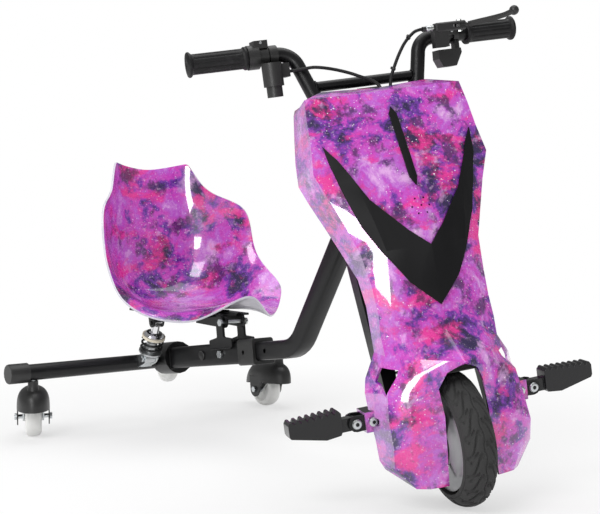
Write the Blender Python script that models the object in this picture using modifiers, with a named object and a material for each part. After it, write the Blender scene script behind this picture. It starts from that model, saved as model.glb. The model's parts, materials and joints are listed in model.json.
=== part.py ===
"""Electric drift kart: a hub-motor front wheel under a mask-like cowl, and a bucket seat on a
sprung hinge between two caster wheels.

All lengths are metres. Kart coordinates have their origin on the ground under the front wheel's
centre, with +X to the driver's left, +Y backwards and +Z up. Points of the front are given with the
steering straight ahead, and the steering frame then turns them. At the end the root is moved so
that the middle of the object's underside is the world's origin.
"""
import math

import bmesh
import bpy
from mathutils import Matrix, Quaternion, Vector

# Clearance between pieces that touch, and between a pin and its hole
GAP = 0.0003

# Front wheel and steering axis
WHEEL_RADIUS = 0.100
TYRE_SECTION = 0.026
RIM_RADIUS = 0.074
AXLE_RADIUS = 0.006
RAKE = math.radians(22.1)
TRAIL = 0.0058
STEERED = math.radians(22.78)

# Head tube, fork and the plate that carries the battery
HEAD_Z = 0.504
HEAD_LENGTH = 0.110
HEAD_OUTER = 0.023
HEAD_WALL = 0.0035
STEERER_RADIUS = 0.0145
CUP_HEIGHT = 0.008
CUP_RADIUS = 0.0255
CROWN_HEIGHT = 0.012
CROWN_FRONT = 0.018
LEG_DEPTH = 0.028
LEG_WIDTH = 0.022
LEG_INNER = 0.066
PLATE_THICK = 0.003
PLATE_LENGTH = 0.118

# Plate over the tyre; the angles are from straight up, positive backwards
GUARD_RADIUS = 0.111
GUARD_THICK = 0.002
GUARD_HALF = 0.034
GUARD_FRONT = -20
GUARD_REAR = 80

# Frame tubes
FRONT_TUBE = 0.032
FRONT_TUBE_WALL = 0.0025
REAR_TUBE = 0.040
TUBE_CORNER = 0.005
TUBE_SLOPE = math.radians(8.2)
BEND_Y = 0.362
BEND_RADIUS = 0.060
TUBE_MEETS_Z = 0.513
TUBE_INSIDE = 0.108
COLLAR_FRONT_Y = 0.466
COLLAR_LENGTH = 0.046
COLLAR_WALL = 0.007
HOLE_PITCH = 0.055
LOCK_BOLT_Y = 0.568

# Crossbar at the back
CROSS_Y = 0.797
CROSS_Z = 0.126
CROSS_RADIUS = 0.015
CROSS_WALL = 0.0025
CROSS_HALF = 0.315
TUBE_REAR_RISE = 0.003
CAP_REACH = 0.024
CAP_WALL = 0.003
CAP_END = 0.013
SOCKET_RADIUS = 0.031
SOCKET_FRONT_Y = 0.745

# Caster wheels
CASTER_INSET = 0.0355
CASTER_X = CROSS_HALF - CASTER_INSET
CASTER_TRAIL = 0.046
CASTER_RADIUS = 0.0375
CASTER_WIDTH = 0.030
CASTER_TURNED = math.radians(-24.7)
CASTER_FORK_INNER = 0.0165
CASTER_FORK_THICK = 0.003
CASTER_BOLT = 0.004
STEM_RADIUS = 0.005
HOOD_HALF = 0.030
HOOD_MIDDLE = 0.024
HOOD_TAIL = 0.110
TAIL_DROP = 0.013
HOOD_RIM_Z = 0.055
HOOD_TOP_Z = 0.0965
HOOD_WALL = 0.002
NECK_RADIUS = 0.0095
LOBE_RADIUS = 0.016

# Roller behind the crossbar
ROLLER_X = 0.030
ROLLER_Y = 0.838
ROLLER_Z = 0.104
ROLLER_RADIUS = 0.029
ROLLER_WIDTH = 0.022
ROLLER_PLATE = 0.003
ROLLER_AXLE = 0.004

# Seat hinge, base and shell
PIVOT_Y = 0.560
PIVOT_Z = 0.220
PIVOT_RADIUS = 0.004
EAR_WIDTH = 0.020
EAR_THICK = 0.005
EAR_TOP_Z = 0.236
TAB_THICK = 0.004
BASE_HALF = 0.065
BASE_FRONT_Y = 0.602
BASE_REAR_Y = 0.822
BASE_THICK = 0.004
SEAT_HALF = 0.182
PAN_Z = 0.2345
SHELL_THICK = 0.004

# Shock absorber
SHOCK_X = -0.055
SHOCK_LOW = (0.7655, 0.137)
SHOCK_HIGH = (0.735, 0.208)
EYE_RADIUS = 0.009
EYE_WIDTH = 0.020
EYE_BOLT = 0.004
DAMPER_RADIUS = 0.0105
DAMPER_TOP = 0.036
ROD_RADIUS = 0.006
SPRING_RADIUS = 0.0193
SPRING_WIRE = 0.0022
SPRING_TURNS = 2.4
SPRING_FOOT = 0.0165
SPRING_HEAD = 0.0445
CUP_RIM_RADIUS = 0.0225

# Handlebar
BAR_RADIUS = 0.0111
BAR_HALF = 0.2645
BAR_Y = 0.2105
BAR_Z = 0.6775
KNEE_X = 0.1055
KNEE_BEND = 0.030
FOOT_X = 0.0790
FOOT_Y = 0.1825
FOOT_Z = 0.590
FOOT_BEND = 0.022
BRACE_Z = 0.6214
BRACE_RADIUS = 0.008
GRIP_RADIUS = 0.0155
GRIP_FLANGE = 0.0190
GRIP_INNER_X = 0.184
THROTTLE_INNER_X = 0.1756
CABLE_RADIUS = 0.0025

# Cowl and what is inset in it
COWL_THICK = 0.003
INLAY_THICK = 0.0025
HOLE_RADIUS = 0.0016
HOLE_RING = 0.013
SPEAKER_Z = 0.434
SPEAKER_RADIUS = 0.018

# Battery and controller
BATTERY = (0.100, 0.045, 0.100)
CONTROLLER = (0.080, 0.035, 0.055)

# Footrests
FOLD_X = 0.139
FOLD_Y = 0.031
FOLD_Z = 0.1425
FOLD_BOLT = 0.004
FOLD_EAR = 0.0115
FOLD_EAR_THICK = 0.005
TONGUE_HALF = 0.008
ARM_HALF_Y = TONGUE_HALF + GAP + FOLD_EAR_THICK
ARM_HALF_Z = 0.0107
STUB_END_X = 0.1267
STUB_BOLT_X = 0.1155
STUB_HEAD = 0.0062
STUB_WALL = 0.004
REST_INNER_X = 0.160
REST_LENGTH = 0.078
REST_DEPTH = 0.026
TEETH = 8
TOOTH = 0.005

LEAN = math.asin(math.sin(RAKE) * math.sin(STEERED))
TYRE_DROP = TYRE_SECTION + (WHEEL_RADIUS - TYRE_SECTION) * math.cos(LEAN)
AXLE_Z = TYRE_DROP - TRAIL * math.sin(RAKE) * math.cos(RAKE) * (1 - math.cos(STEERED))
HEAD_Y = (HEAD_Z - AXLE_Z) * math.tan(RAKE) - TRAIL
TUBE_REAR_Z = CROSS_Z + TUBE_REAR_RISE
SHOCK_LEAN = math.atan2(SHOCK_LOW[0] - SHOCK_HIGH[0], SHOCK_HIGH[1] - SHOCK_LOW[1])
SHOCK_LENGTH = math.hypot(SHOCK_LOW[0] - SHOCK_HIGH[0], SHOCK_HIGH[1] - SHOCK_LOW[1])

# Turns that lay a drawn outline in a plane: its own x and y become the two named axes
SIDE = Matrix(((0, 0, 1), (1, 0, 0), (0, 1, 0))).to_4x4()
FRONT = Matrix(((1, 0, 0), (0, 0, -1), (0, 1, 0))).to_4x4()
TOP = Matrix.Identity(4)
RAKED = (-RAKE, 0, 0)

CROWN_TOP = -(HEAD_LENGTH / 2 + CUP_HEIGHT + 2 * GAP)
PLATE_TOP = CROWN_TOP - CROWN_HEIGHT - GAP
CLAMP_LOW = HEAD_LENGTH / 2 + CUP_HEIGHT + 3 * GAP


def tube_z(y):
    """Height of the lower frame tube's centre line."""
    return TUBE_REAR_Z + (CROSS_Y - y) * math.tan(TUBE_SLOPE)


def on_axis(x, back, up):
    """Kart coordinates of a place measured from the head's centre, across and along the axis."""
    y = HEAD_Y + back * math.cos(RAKE) + up * math.sin(RAKE)
    return Vector((x, y, HEAD_Z - back * math.sin(RAKE) + up * math.cos(RAKE)))


def to_axis(y, z):
    """The reverse of on_axis: how far back and up the axis a place lies."""
    dy, dz = y - HEAD_Y, z - HEAD_Z
    back = dy * math.cos(RAKE) - dz * math.sin(RAKE)
    return back, dy * math.sin(RAKE) + dz * math.cos(RAKE)


def mix(a, b, share):
    return a + (b - a) * share


# Scene, collections and frames

def start_scene():
    for thing in list(bpy.data.objects):
        bpy.data.objects.remove(thing)


def collection(name):
    made = bpy.data.collections.new(name)
    bpy.context.scene.collection.children.link(made)
    return made


class Frame:
    """An empty on a joint's axis, with its place in kart coordinates."""

    def __init__(self, name, at=(0, 0, 0), parent=None):
        self.at = Vector(at)
        self.empty = bpy.data.objects.new(name, None)
        self.empty.empty_display_size = 0.05
        PARTS.objects.link(self.empty)
        if parent:
            self.empty.parent = parent.empty
            self.empty.location = self.at - parent.at


def material(name, colour, roughness, metallic=0.0):
    made = bpy.data.materials.new(name)
    made.use_nodes = True
    shader = made.node_tree.nodes["Principled BSDF"]
    shader.inputs["Base Color"].default_value = (*colour, 1)
    shader.inputs["Roughness"].default_value = roughness
    shader.inputs["Metallic"].default_value = metallic
    made.diffuse_color = (*colour, 1)
    return made


def add(name, mesh, frame, at=(0, 0, 0), turn=(0, 0, 0), look=None):
    """Put a mesh in the kart; without a look it is a cutter."""
    thing = bpy.data.objects.new(name, mesh)
    if look:
        mesh.materials.append(look)
        PARTS.objects.link(thing)
    else:
        CUTTERS.objects.link(thing)
        thing.hide_render = True
        thing.display_type = "WIRE"
    thing.parent = frame.empty
    thing.location = Vector(at) - frame.at
    thing.rotation_euler = turn
    return thing


# Shapes

def mesh_from(bm, name):
    mesh = bpy.data.meshes.new(name)
    bm.to_mesh(mesh)
    bm.free()
    return mesh


def box(x, y, z):
    bm = bmesh.new()
    bmesh.ops.create_cube(bm, size=1)
    bmesh.ops.scale(bm, vec=(x, y, z), verts=bm.verts)
    return mesh_from(bm, "box")


def rod(radius, length, axis="Z", sides=16):
    bm = bmesh.new()
    bmesh.ops.create_cone(
        bm, cap_ends=True, segments=sides, radius1=radius, radius2=radius, depth=length)
    turn = {"X": Matrix.Rotation(math.pi / 2, 4, "Y"), "Y": Matrix.Rotation(math.pi / 2, 4, "X")}
    bm.transform(turn.get(axis, TOP))
    return mesh_from(bm, "rod")


def ball(radius):
    bm = bmesh.new()
    bmesh.ops.create_uvsphere(bm, u_segments=12, v_segments=8, radius=radius)
    return mesh_from(bm, "ball")


def turned(name, profile, frame, at, turn=(0, 0, 0), look=None, steps=16, closed=False):
    """A turned piece: profile points are (radius, height), down the outer side."""
    mesh = bpy.data.meshes.new(name)
    count = len(profile)
    edges = [(i, i + 1) for i in range(count - 1)]
    if closed:
        edges.append((count - 1, 0))
    mesh.from_pydata([(radius, 0, height) for radius, height in profile], edges, [])
    thing = add(name, mesh, frame, at, turn, look)
    screw = thing.modifiers.new("Screw", "SCREW")
    screw.steps = steps
    screw.render_steps = steps
    screw.use_merge_vertices = True
    screw.merge_threshold = 0.00005
    return thing


def curve_mesh(curve, turn=TOP):
    """The welded mesh of a curve, turned as asked."""
    thing = bpy.data.objects.new("curve", curve)
    bpy.context.scene.collection.objects.link(thing)
    found = thing.evaluated_get(bpy.context.evaluated_depsgraph_get())
    mesh = bpy.data.meshes.new_from_object(found)
    bpy.data.objects.remove(thing)
    bm = bmesh.new()
    bm.from_mesh(mesh)
    bmesh.ops.remove_doubles(bm, verts=bm.verts, dist=0.00002)
    bm.transform(turn)
    if bm.calc_volume(signed=True) < 0:
        bmesh.ops.reverse_faces(bm, faces=bm.faces)
    bm.to_mesh(mesh)
    bm.free()
    return mesh


def slab(loops, thickness, plane):
    """Outlines, with holes as further loops, drawn in a plane and extruded both ways."""
    curve = bpy.data.curves.new("outline", "CURVE")
    curve.dimensions = "2D"
    curve.fill_mode = "BOTH"
    curve.extrude = thickness / 2
    for loop in loops:
        spline = curve.splines.new("POLY")
        spline.points.add(len(loop) - 1)
        for point, (x, y) in zip(spline.points, loop):
            point.co = (x, y, 0, 1)
        spline.use_cyclic_u = True
    return curve_mesh(curve, plane)


def merge_flat(mesh):
    """Join the triangles of each flat face, so that a bevel isn't held back by them."""
    bm = bmesh.new()
    bm.from_mesh(mesh)
    bmesh.ops.dissolve_limit(bm, angle_limit=0.001, verts=bm.verts, edges=bm.edges)
    bm.to_mesh(mesh)
    bm.free()


def tube(points, radius, resolution=3):
    curve = bpy.data.curves.new("tube", "CURVE")
    curve.dimensions = "3D"
    curve.bevel_depth = radius
    curve.bevel_resolution = resolution
    curve.use_fill_caps = True
    spline = curve.splines.new("POLY")
    spline.points.add(len(points) - 1)
    for point, place in zip(spline.points, points):
        point.co = (*place, 1)
    return curve_mesh(curve)


def circle(x, y, radius, sides=24):
    turns = [2 * math.pi * i / sides for i in range(sides)]
    return [(x + radius * math.cos(a), y + radius * math.sin(a)) for a in turns]


def rounded(corners, radii, closed=True, steps=4):
    """A path or outline whose corners are arcs of the given radii."""
    corners = [Vector(corner) for corner in corners]
    if not hasattr(radii, "__len__"):
        radii = [radii] * len(corners)
    path = []
    for i, corner in enumerate(corners):
        ends = i in (0, len(corners) - 1) and not closed
        if ends or radii[i] == 0:
            path.append(corner)
            continue
        into = (corners[i - 1] - corner).normalized()
        out = (corners[(i + 1) % len(corners)] - corner).normalized()
        half = into.angle(out) / 2
        middle = corner + (into + out).normalized() * radii[i] / math.sin(half)
        first = corner + into * radii[i] / math.tan(half) - middle
        last = corner + out * radii[i] / math.tan(half) - middle
        sweep = first.angle(last)
        for step in range(steps + 1):
            share = step / steps
            arc = (first * math.sin((1 - share) * sweep) + last * math.sin(share * sweep))
            path.append(middle + arc / math.sin(sweep))
    return [tuple(point) for point in path]


def smooth_path(points, per_span=4):
    """A smooth line through the points of a cable's route."""
    points = [Vector(point) for point in points]
    ends = [points[0] * 2 - points[1]] + points + [points[-1] * 2 - points[-2]]
    path = []
    for i in range(1, len(points)):
        a, b, c, d = ends[i - 1:i + 3]
        for step in range(per_span):
            t = step / per_span
            pull = (c - a) * t + (a * 2 - b * 5 + c * 4 - d) * t ** 2
            path.append(b + (pull + (b * 3 - a - c * 3 + d) * t ** 3) / 2)
    return path + [points[-1]]


def carve(target, tool, how="DIFFERENCE"):
    step = target.modifiers.new(how.title(), "BOOLEAN")
    step.operation = how
    step.object = tool


def soften(thing, width, segments=1, angle=35):
    bevel = thing.modifiers.new("Bevel", "BEVEL")
    bevel.width = width
    bevel.segments = segments
    bevel.limit_method = "ANGLE"
    bevel.angle_limit = math.radians(angle)


def smooth(thing, angle=35):
    thing.data.shade_smooth()
    thing.data.set_sharp_from_angle(angle=math.radians(angle))


start_scene()
PARTS = collection("electric_drift_kart")
CUTTERS = collection("cutters")

BLACK_PAINT = material("black painted steel", (0.022, 0.022, 0.025), 0.38, 0.2)
PRINT = material("printed gloss plastic", (0.45, 0.05, 0.34), 0.18)
BLACK_PLASTIC = material("black plastic", (0.018, 0.018, 0.02), 0.5)
RUBBER = material("black rubber", (0.02, 0.02, 0.021), 0.75)
WHITE_PLASTIC = material("white nylon", (0.82, 0.82, 0.8), 0.4)
ZINC = material("zinc plated steel", (0.62, 0.64, 0.66), 0.32, 1.0)
CHROME = material("chrome", (0.8, 0.8, 0.82), 0.12, 1.0)
ALLOY = material("cast aluminium", (0.6, 0.61, 0.62), 0.4, 1.0)
CREAM = material("cream plastic", (0.75, 0.68, 0.55), 0.45)
BLUE_WRAP = material("blue battery wrap", (0.03, 0.12, 0.4), 0.4)

KART = Frame("kart")
SLIDE = Frame("frame_slide", (0, COLLAR_FRONT_Y, tube_z(COLLAR_FRONT_Y)), KART)
STEER = Frame("steering", (0, HEAD_Y, HEAD_Z), SLIDE)
STEER_AXIS = Vector((0, math.sin(RAKE), math.cos(RAKE)))
SEAT = Frame("seat_tilt", (0, PIVOT_Y, PIVOT_Z), KART)
SHOCK = Frame("shock_swing", (SHOCK_X, *SHOCK_LOW), KART)


# Rear frame

def tube_section(size, x=0.0):
    half = size / 2
    corners = [(x - half, -half), (x + half, -half), (x + half, half), (x - half, half)]
    return rounded(corners, TUBE_CORNER, steps=3)


def along_tube(name, loops, front_y, rear_y, look):
    """A length of hollow section laid along the lower frame tube."""
    middle = (front_y + rear_y) / 2
    length = (rear_y - front_y) / math.cos(TUBE_SLOPE)
    return add(name, slab(loops, length, FRONT), KART, (0, middle, tube_z(middle)),
               (-TUBE_SLOPE, 0, 0), look)


def rear_frame():
    rear_start = COLLAR_FRONT_Y + COLLAR_LENGTH + GAP
    bore = tube_section(FRONT_TUBE + 2 * GAP)
    rear = along_tube("rear_tube", [tube_section(REAR_TUBE), bore], rear_start, CROSS_Y, BLACK_PAINT)
    saddle = add("crossbar_seat", rod(CROSS_RADIUS + GAP, 4 * SOCKET_RADIUS, "X", 24), KART,
                 (0, CROSS_Y, CROSS_Z))
    carve(rear, saddle)
    hole = add("lock_bolt_hole", rod(PIVOT_RADIUS + GAP, REAR_TUBE / 2, "X", 12), KART,
               (-REAR_TUBE / 2, LOCK_BOLT_Y, tube_z(LOCK_BOLT_Y)))
    carve(rear, hole)

    outer = FRONT_TUBE + 2 * COLLAR_WALL
    collar = along_tube("sleeve_collar", [tube_section(outer), bore], COLLAR_FRONT_Y,
                        COLLAR_FRONT_Y + COLLAR_LENGTH, BLACK_PLASTIC)
    pin_y = COLLAR_FRONT_Y + COLLAR_LENGTH * 0.65
    pin_hole = add("collar_hole", rod(PIVOT_RADIUS, outer / 2, "X", 12), KART,
                   (-outer / 2, pin_y, tube_z(pin_y)))
    carve(collar, pin_hole)

    socket_middle = (SOCKET_FRONT_Y + CROSS_Y) / 2
    bar = turned("crossbar", [(CROSS_RADIUS, CROSS_HALF), (CROSS_RADIUS, -CROSS_HALF),
                              (CROSS_RADIUS - CROSS_WALL, -CROSS_HALF),
                              (CROSS_RADIUS - CROSS_WALL, CROSS_HALF)],
                 KART, (0, CROSS_Y, CROSS_Z), (0, math.pi / 2, 0), BLACK_PAINT, 20, True)
    smooth(bar)
    socket_length = (CROSS_Y - SOCKET_FRONT_Y) / math.cos(TUBE_SLOPE)
    socket = add("socket", rod(SOCKET_RADIUS, socket_length, "Y"), KART,
                 (0, socket_middle, tube_z(socket_middle)), (-TUBE_SLOPE, 0, 0))
    inside = add("socket_bore", slab([tube_section(REAR_TUBE + 2 * GAP)], 2 * socket_length, FRONT),
                 KART, (0, socket_middle, tube_z(socket_middle)), (-TUBE_SLOPE, 0, 0))
    core = add("socket_core", rod(CROSS_RADIUS - CROSS_WALL / 2, 3 * SOCKET_RADIUS, "X"), KART,
               (0, CROSS_Y, CROSS_Z))
    carve(socket, core)
    carve(socket, inside)
    carve(bar, socket, "UNION")
    for side in (1, -1):
        stem = add("stem_hole", rod(STEM_RADIUS + GAP, CROSS_RADIUS, "Z", 12), KART,
                   (side * CASTER_X, CROSS_Y, CROSS_Z - CROSS_RADIUS))
        carve(bar, stem)
        cap = CROSS_RADIUS + GAP
        end = CROSS_HALF + GAP
        cap_inner = CROSS_HALF - CAP_REACH
        shell = turned("crossbar_cap_left" if side > 0 else "crossbar_cap_right",
                       [(0, end + CAP_END), (cap + CAP_WALL * 0.6, end + CAP_END),
                        (cap + CAP_WALL, end + CAP_END - CAP_WALL), (cap + CAP_WALL, cap_inner),
                        (cap, cap_inner), (cap, end), (0, end)],
                       KART, (0, CROSS_Y, CROSS_Z), (0, side * math.pi / 2, 0), BLACK_PLASTIC)
        smooth(shell)

    head = 0.0055
    bolt = add("lock_bolt", rod(0.0075, head, "X", 6), KART,
               (-REAR_TUBE / 2 - GAP - head / 2, LOCK_BOLT_Y, tube_z(LOCK_BOLT_Y)), look=ZINC)
    reach = REAR_TUBE / 2 + GAP + head / 2 - FRONT_TUBE / 2 - GAP
    shank = add("lock_bolt_shank", rod(PIVOT_RADIUS, reach, "X", 12), KART,
                (-FRONT_TUBE / 2 - GAP - reach / 2, LOCK_BOLT_Y, tube_z(LOCK_BOLT_Y)))
    carve(bolt, shank, "UNION")


def seat_bracket():
    """Two ears beside the tube, joined by a web over it."""
    inner = REAR_TUBE / 2 + GAP
    top = REAR_TUBE / 2 + GAP
    foot = -0.036
    ear = rounded([(foot, top - 0.010), (-foot, top - 0.010), (-foot, top + 0.006),
                   (EAR_WIDTH / 2, top + 0.010), (EAR_WIDTH / 2, EAR_TOP_Z - tube_z(PIVOT_Y)),
                   (-EAR_WIDTH / 2, EAR_TOP_Z - tube_z(PIVOT_Y)), (-EAR_WIDTH / 2, top + 0.010),
                   (foot, top + 0.006)], (0.003, 0.003, 0.003, 0.003, 0.009, 0.009, 0.003, 0.003),
                  steps=4)
    place = (0, PIVOT_Y, tube_z(PIVOT_Y))
    tilt = (-TUBE_SLOPE, 0, 0)
    web = 0.004
    made = add("seat_pivot_bracket", box(2 * inner + EAR_THICK, -2 * foot, web), KART,
               Vector(place) + Vector((0, 0, top + web / 2)) / math.cos(TUBE_SLOPE), tilt,
               BLACK_PAINT)
    for side in (1, -1):
        plate = add("ear", slab([ear], EAR_THICK, SIDE), KART,
                    Vector(place) + Vector((side * (inner + EAR_THICK / 2), 0, 0)), tilt)
        carve(made, plate, "UNION")
    hole = add("pivot_hole", rod(PIVOT_RADIUS + GAP, 0.1, "X", 12), KART, (0, PIVOT_Y, PIVOT_Z))
    carve(made, hole)
    reach = inner + EAR_THICK + GAP
    head = 0.004
    bolt = add("pivot_bolt", rod(PIVOT_RADIUS, 2 * reach + head, "X", 12), KART,
               (0, PIVOT_Y, PIVOT_Z), look=ZINC)
    for side in (1, -1):
        nut = add("pivot_nut", rod(0.007, head, "X", 6), KART,
                  (side * (reach + head / 2), PIVOT_Y, PIVOT_Z))
        carve(bolt, nut, "UNION")


def bolt_with_heads(name, radius, half, head_radius, head, frame, at, axis, look):
    """A bolt along an axis, with a head and a nut outside the named half width."""
    step = {"X": Vector((1, 0, 0)), "Y": Vector((0, 1, 0)), "Z": Vector((0, 0, 1))}[axis]
    bolt = add(name, rod(radius, 2 * half + head, axis, 12), frame, at, look=look)
    for side in (1, -1):
        nut = add("nut", rod(head_radius, head, axis, 6), frame,
                  Vector(at) + step * side * (half + head / 2))
        carve(bolt, nut, "UNION")
    return bolt


def clevis_outline(pivot, bar, pivot_radius, grip, over=()):
    """An ear: round at its pivot, reaching to a bar and, where asked, over its top."""
    toward = Vector((bar[0] - pivot[0], bar[1] - pivot[1]))
    start = math.atan2(toward.y, toward.x)
    arc = [start + math.pi / 2 + math.pi * i / 6 for i in range(7)]
    points = [(pivot[0] + pivot_radius * math.cos(a), pivot[1] + pivot_radius * math.sin(a))
              for a in arc]
    across = Vector((-toward.y, toward.x)).normalized() * grip
    points += over or [(bar[0] - across.x, bar[1] - across.y)]
    points.append((bar[0] + across.x, bar[1] + across.y))
    return points


def shock_clevis():
    plate = 0.003
    inner = EYE_WIDTH / 2 + GAP
    bar = (CROSS_Y, CROSS_Z)
    outline = clevis_outline(SHOCK_LOW, bar, EYE_RADIUS + 0.0015, CROSS_RADIUS * 0.8)
    web_front = SHOCK_LOW[0] + EYE_RADIUS + 2 * GAP
    made = add("shock_clevis", box(2 * inner + plate, CROSS_Y - web_front, CROSS_RADIUS * 1.3),
               KART, (SHOCK_X, (CROSS_Y + web_front) / 2, mix(CROSS_Z, SHOCK_LOW[1], 0.3)),
               look=ZINC)
    for side in (1, -1):
        ear = add("clevis_ear", slab([outline], plate, SIDE), KART,
                  (SHOCK_X + side * (inner + plate / 2), 0, 0))
        carve(made, ear, "UNION")
    saddle = add("clevis_saddle", rod(CROSS_RADIUS + GAP, 0.1, "X", 24), KART,
                 (SHOCK_X, CROSS_Y, CROSS_Z))
    carve(made, saddle)
    hole = add("clevis_hole", rod(EYE_BOLT + GAP, 0.1, "X", 12), KART, (SHOCK_X, *SHOCK_LOW))
    carve(made, hole)
    bolt_with_heads("shock_bolt", EYE_BOLT, inner + plate + GAP, 0.0065, 0.004, KART,
                    (SHOCK_X, *SHOCK_LOW), "X", ZINC)


def roller():
    inner = ROLLER_WIDTH / 2 + GAP
    bar = (CROSS_Y, CROSS_Z)
    axle = (ROLLER_Y, ROLLER_Z)
    strap = 0.006
    front, rear = CROSS_Y + 0.006, CROSS_Y + 0.017
    top = CROSS_Z + CROSS_RADIUS + strap
    over = [(rear + 0.001, top + 0.001), (front - 0.001, top + 0.001)]
    outline = clevis_outline(axle, bar, 0.009, CROSS_RADIUS * 0.8, over)
    made = add("roller_bracket", box(2 * inner + ROLLER_PLATE, rear - front, 2 * strap), KART,
               (ROLLER_X, (front + rear) / 2, top - strap), look=BLACK_PAINT)
    for side in (1, -1):
        x = ROLLER_X + side * (inner + ROLLER_PLATE / 2)
        plate = add("roller_plate", slab([outline], ROLLER_PLATE, SIDE), KART, (x, 0, 0))
        carve(made, plate, "UNION")
    saddle = add("roller_saddle", rod(CROSS_RADIUS + GAP, 0.1, "X", 24), KART,
                 (ROLLER_X, CROSS_Y, CROSS_Z))
    carve(made, saddle)
    pin = add("roller_pin", rod(ROLLER_AXLE, 2 * (inner + ROLLER_PLATE) + 0.003, "X", 12), KART,
              (ROLLER_X, *axle))
    carve(made, pin, "UNION")
    half = ROLLER_WIDTH / 2
    profile = [(ROLLER_AXLE + GAP, half), (ROLLER_RADIUS - 0.005, half),
               (ROLLER_RADIUS, half - 0.004), (ROLLER_RADIUS, 0.004 - half),
               (ROLLER_RADIUS - 0.005, -half), (ROLLER_AXLE + GAP, -half)]
    wheel = turned("roller_wheel", profile, KART, (ROLLER_X, *axle), (0, math.pi / 2, 0),
                   WHITE_PLASTIC, 24, True)
    smooth(wheel)


# Casters

def hood_mesh():
    """An open dome with full shoulders, whose rear runs down into a pointed tail."""
    full, lean = 3.0, 2.0
    bm = bmesh.new()
    bmesh.ops.create_uvsphere(bm, u_segments=14, v_segments=8, radius=1)
    low = [vert for vert in bm.verts if vert.co.z < -0.01]
    bmesh.ops.delete(bm, geom=low, context="VERTS")
    for vert in bm.verts:
        x, y, _ = vert.co
        rear = max(y, 0)
        across = min(math.hypot(x, y), 1)
        power = mix(full, lean, rear)
        rise = (1 - across ** power) ** (1 / power)
        reach = HOOD_TAIL - HOOD_MIDDLE if y > 0 else HOOD_MIDDLE + HOOD_HALF
        drop = TAIL_DROP * rear ** 2
        vert.co = (x * HOOD_HALF, y * reach, rise * (HOOD_TOP_Z - HOOD_RIM_Z + drop) - drop)
    return mesh_from(bm, "hood")


def caster(side):
    word = "left" if side > 0 else "right"
    stem = Vector((side * CASTER_X, CROSS_Y, 0))
    frame = Frame("caster_swivel_" + word, stem, KART)
    frame.empty.rotation_euler = (0, 0, CASTER_TURNED if side < 0 else 0)
    axle = stem + Vector((0, CASTER_TRAIL, CASTER_RADIUS))
    outer = CASTER_FORK_INNER + CASTER_FORK_THICK
    roof = 2 * CASTER_RADIUS + 0.0032
    neck_top = CROSS_Z - CROSS_RADIUS - GAP

    hood = add("caster_hood_" + word, hood_mesh(), frame,
               stem + Vector((0, HOOD_MIDDLE, HOOD_RIM_Z)), look=BLACK_PLASTIC)
    wall = hood.modifiers.new("Solidify", "SOLIDIFY")
    wall.thickness = HOOD_WALL
    wall.offset = -1
    neck = add("hood_neck", rod(NECK_RADIUS, neck_top - HOOD_TOP_Z + 0.009), frame,
               stem + Vector((0, 0, (neck_top + HOOD_TOP_Z - 0.009) / 2)))
    carve(hood, neck, "UNION")
    lobe_x = HOOD_HALF - HOOD_WALL / 2 - GAP
    lobe = clevis_outline((CASTER_TRAIL, CASTER_RADIUS), (CASTER_TRAIL - 0.008, HOOD_RIM_Z + 0.010),
                          LOBE_RADIUS, LOBE_RADIUS + 0.004)
    for across in (1, -1):
        cheek = add("hood_cheek", slab([lobe], HOOD_WALL, SIDE), frame,
                    stem + Vector((across * lobe_x, 0, 0)))
        carve(hood, cheek, "UNION")
    eye = add("cheek_hole", rod(CASTER_BOLT + GAP, 0.1, "X", 12), frame, axle)
    carve(hood, eye)
    bore = add("hood_bore", rod(STEM_RADIUS + GAP, 0.08, "Z", 12), frame,
               stem + Vector((0, 0, HOOD_TOP_Z)))
    carve(hood, bore)
    smooth(hood)

    leg = clevis_outline((CASTER_TRAIL, CASTER_RADIUS), (0.006, roof), 0.009, 0.012)
    fork = add("caster_fork_" + word, box(2 * outer, 0.018, CASTER_FORK_THICK), frame,
               stem + Vector((0, 0.0055, roof - CASTER_FORK_THICK / 2)), look=ZINC)
    for across in (1, -1):
        plate = add("caster_leg", slab([leg], CASTER_FORK_THICK, SIDE), frame,
                    stem + Vector((across * (CASTER_FORK_INNER + CASTER_FORK_THICK / 2), 0, 0)))
        carve(fork, plate, "UNION")
    trim = add("fork_trim", box(0.1, 0.1, 0.02), frame, stem + Vector((0, 0, roof + 0.01)))
    carve(fork, trim)
    pin_top = CROSS_Z
    pin = add("caster_stem", rod(STEM_RADIUS, pin_top - roof + 0.002, "Z", 12), frame,
              stem + Vector((0, 0, (pin_top + roof - 0.002) / 2)))
    carve(fork, pin, "UNION")
    hole = add("caster_hole", rod(CASTER_BOLT + GAP, 0.1, "X", 12), frame, axle)
    carve(fork, hole)
    bolt_with_heads("caster_axle_" + word, CASTER_BOLT, HOOD_HALF, 0.0065, 0.0045, frame, axle,
                    "X", ZINC)

    half = CASTER_WIDTH / 2
    hub = CASTER_FORK_INNER - GAP
    side_profile = [(CASTER_BOLT + GAP, hub), (0.010, hub), (0.0115, half * 0.8),
                    (0.022, half * 0.8), (0.0255, half), (0.0315, half * 0.84),
                    (0.0358, half * 0.5)]
    mirrored = [(radius, -height) for radius, height in reversed(side_profile)]
    wheel = turned("caster_wheel_" + word, side_profile + [(CASTER_RADIUS, 0)] + mirrored, frame,
                   axle, (0, math.pi / 2, 0), WHITE_PLASTIC, 18, True)
    smooth(wheel, 50)


# Seat

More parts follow.
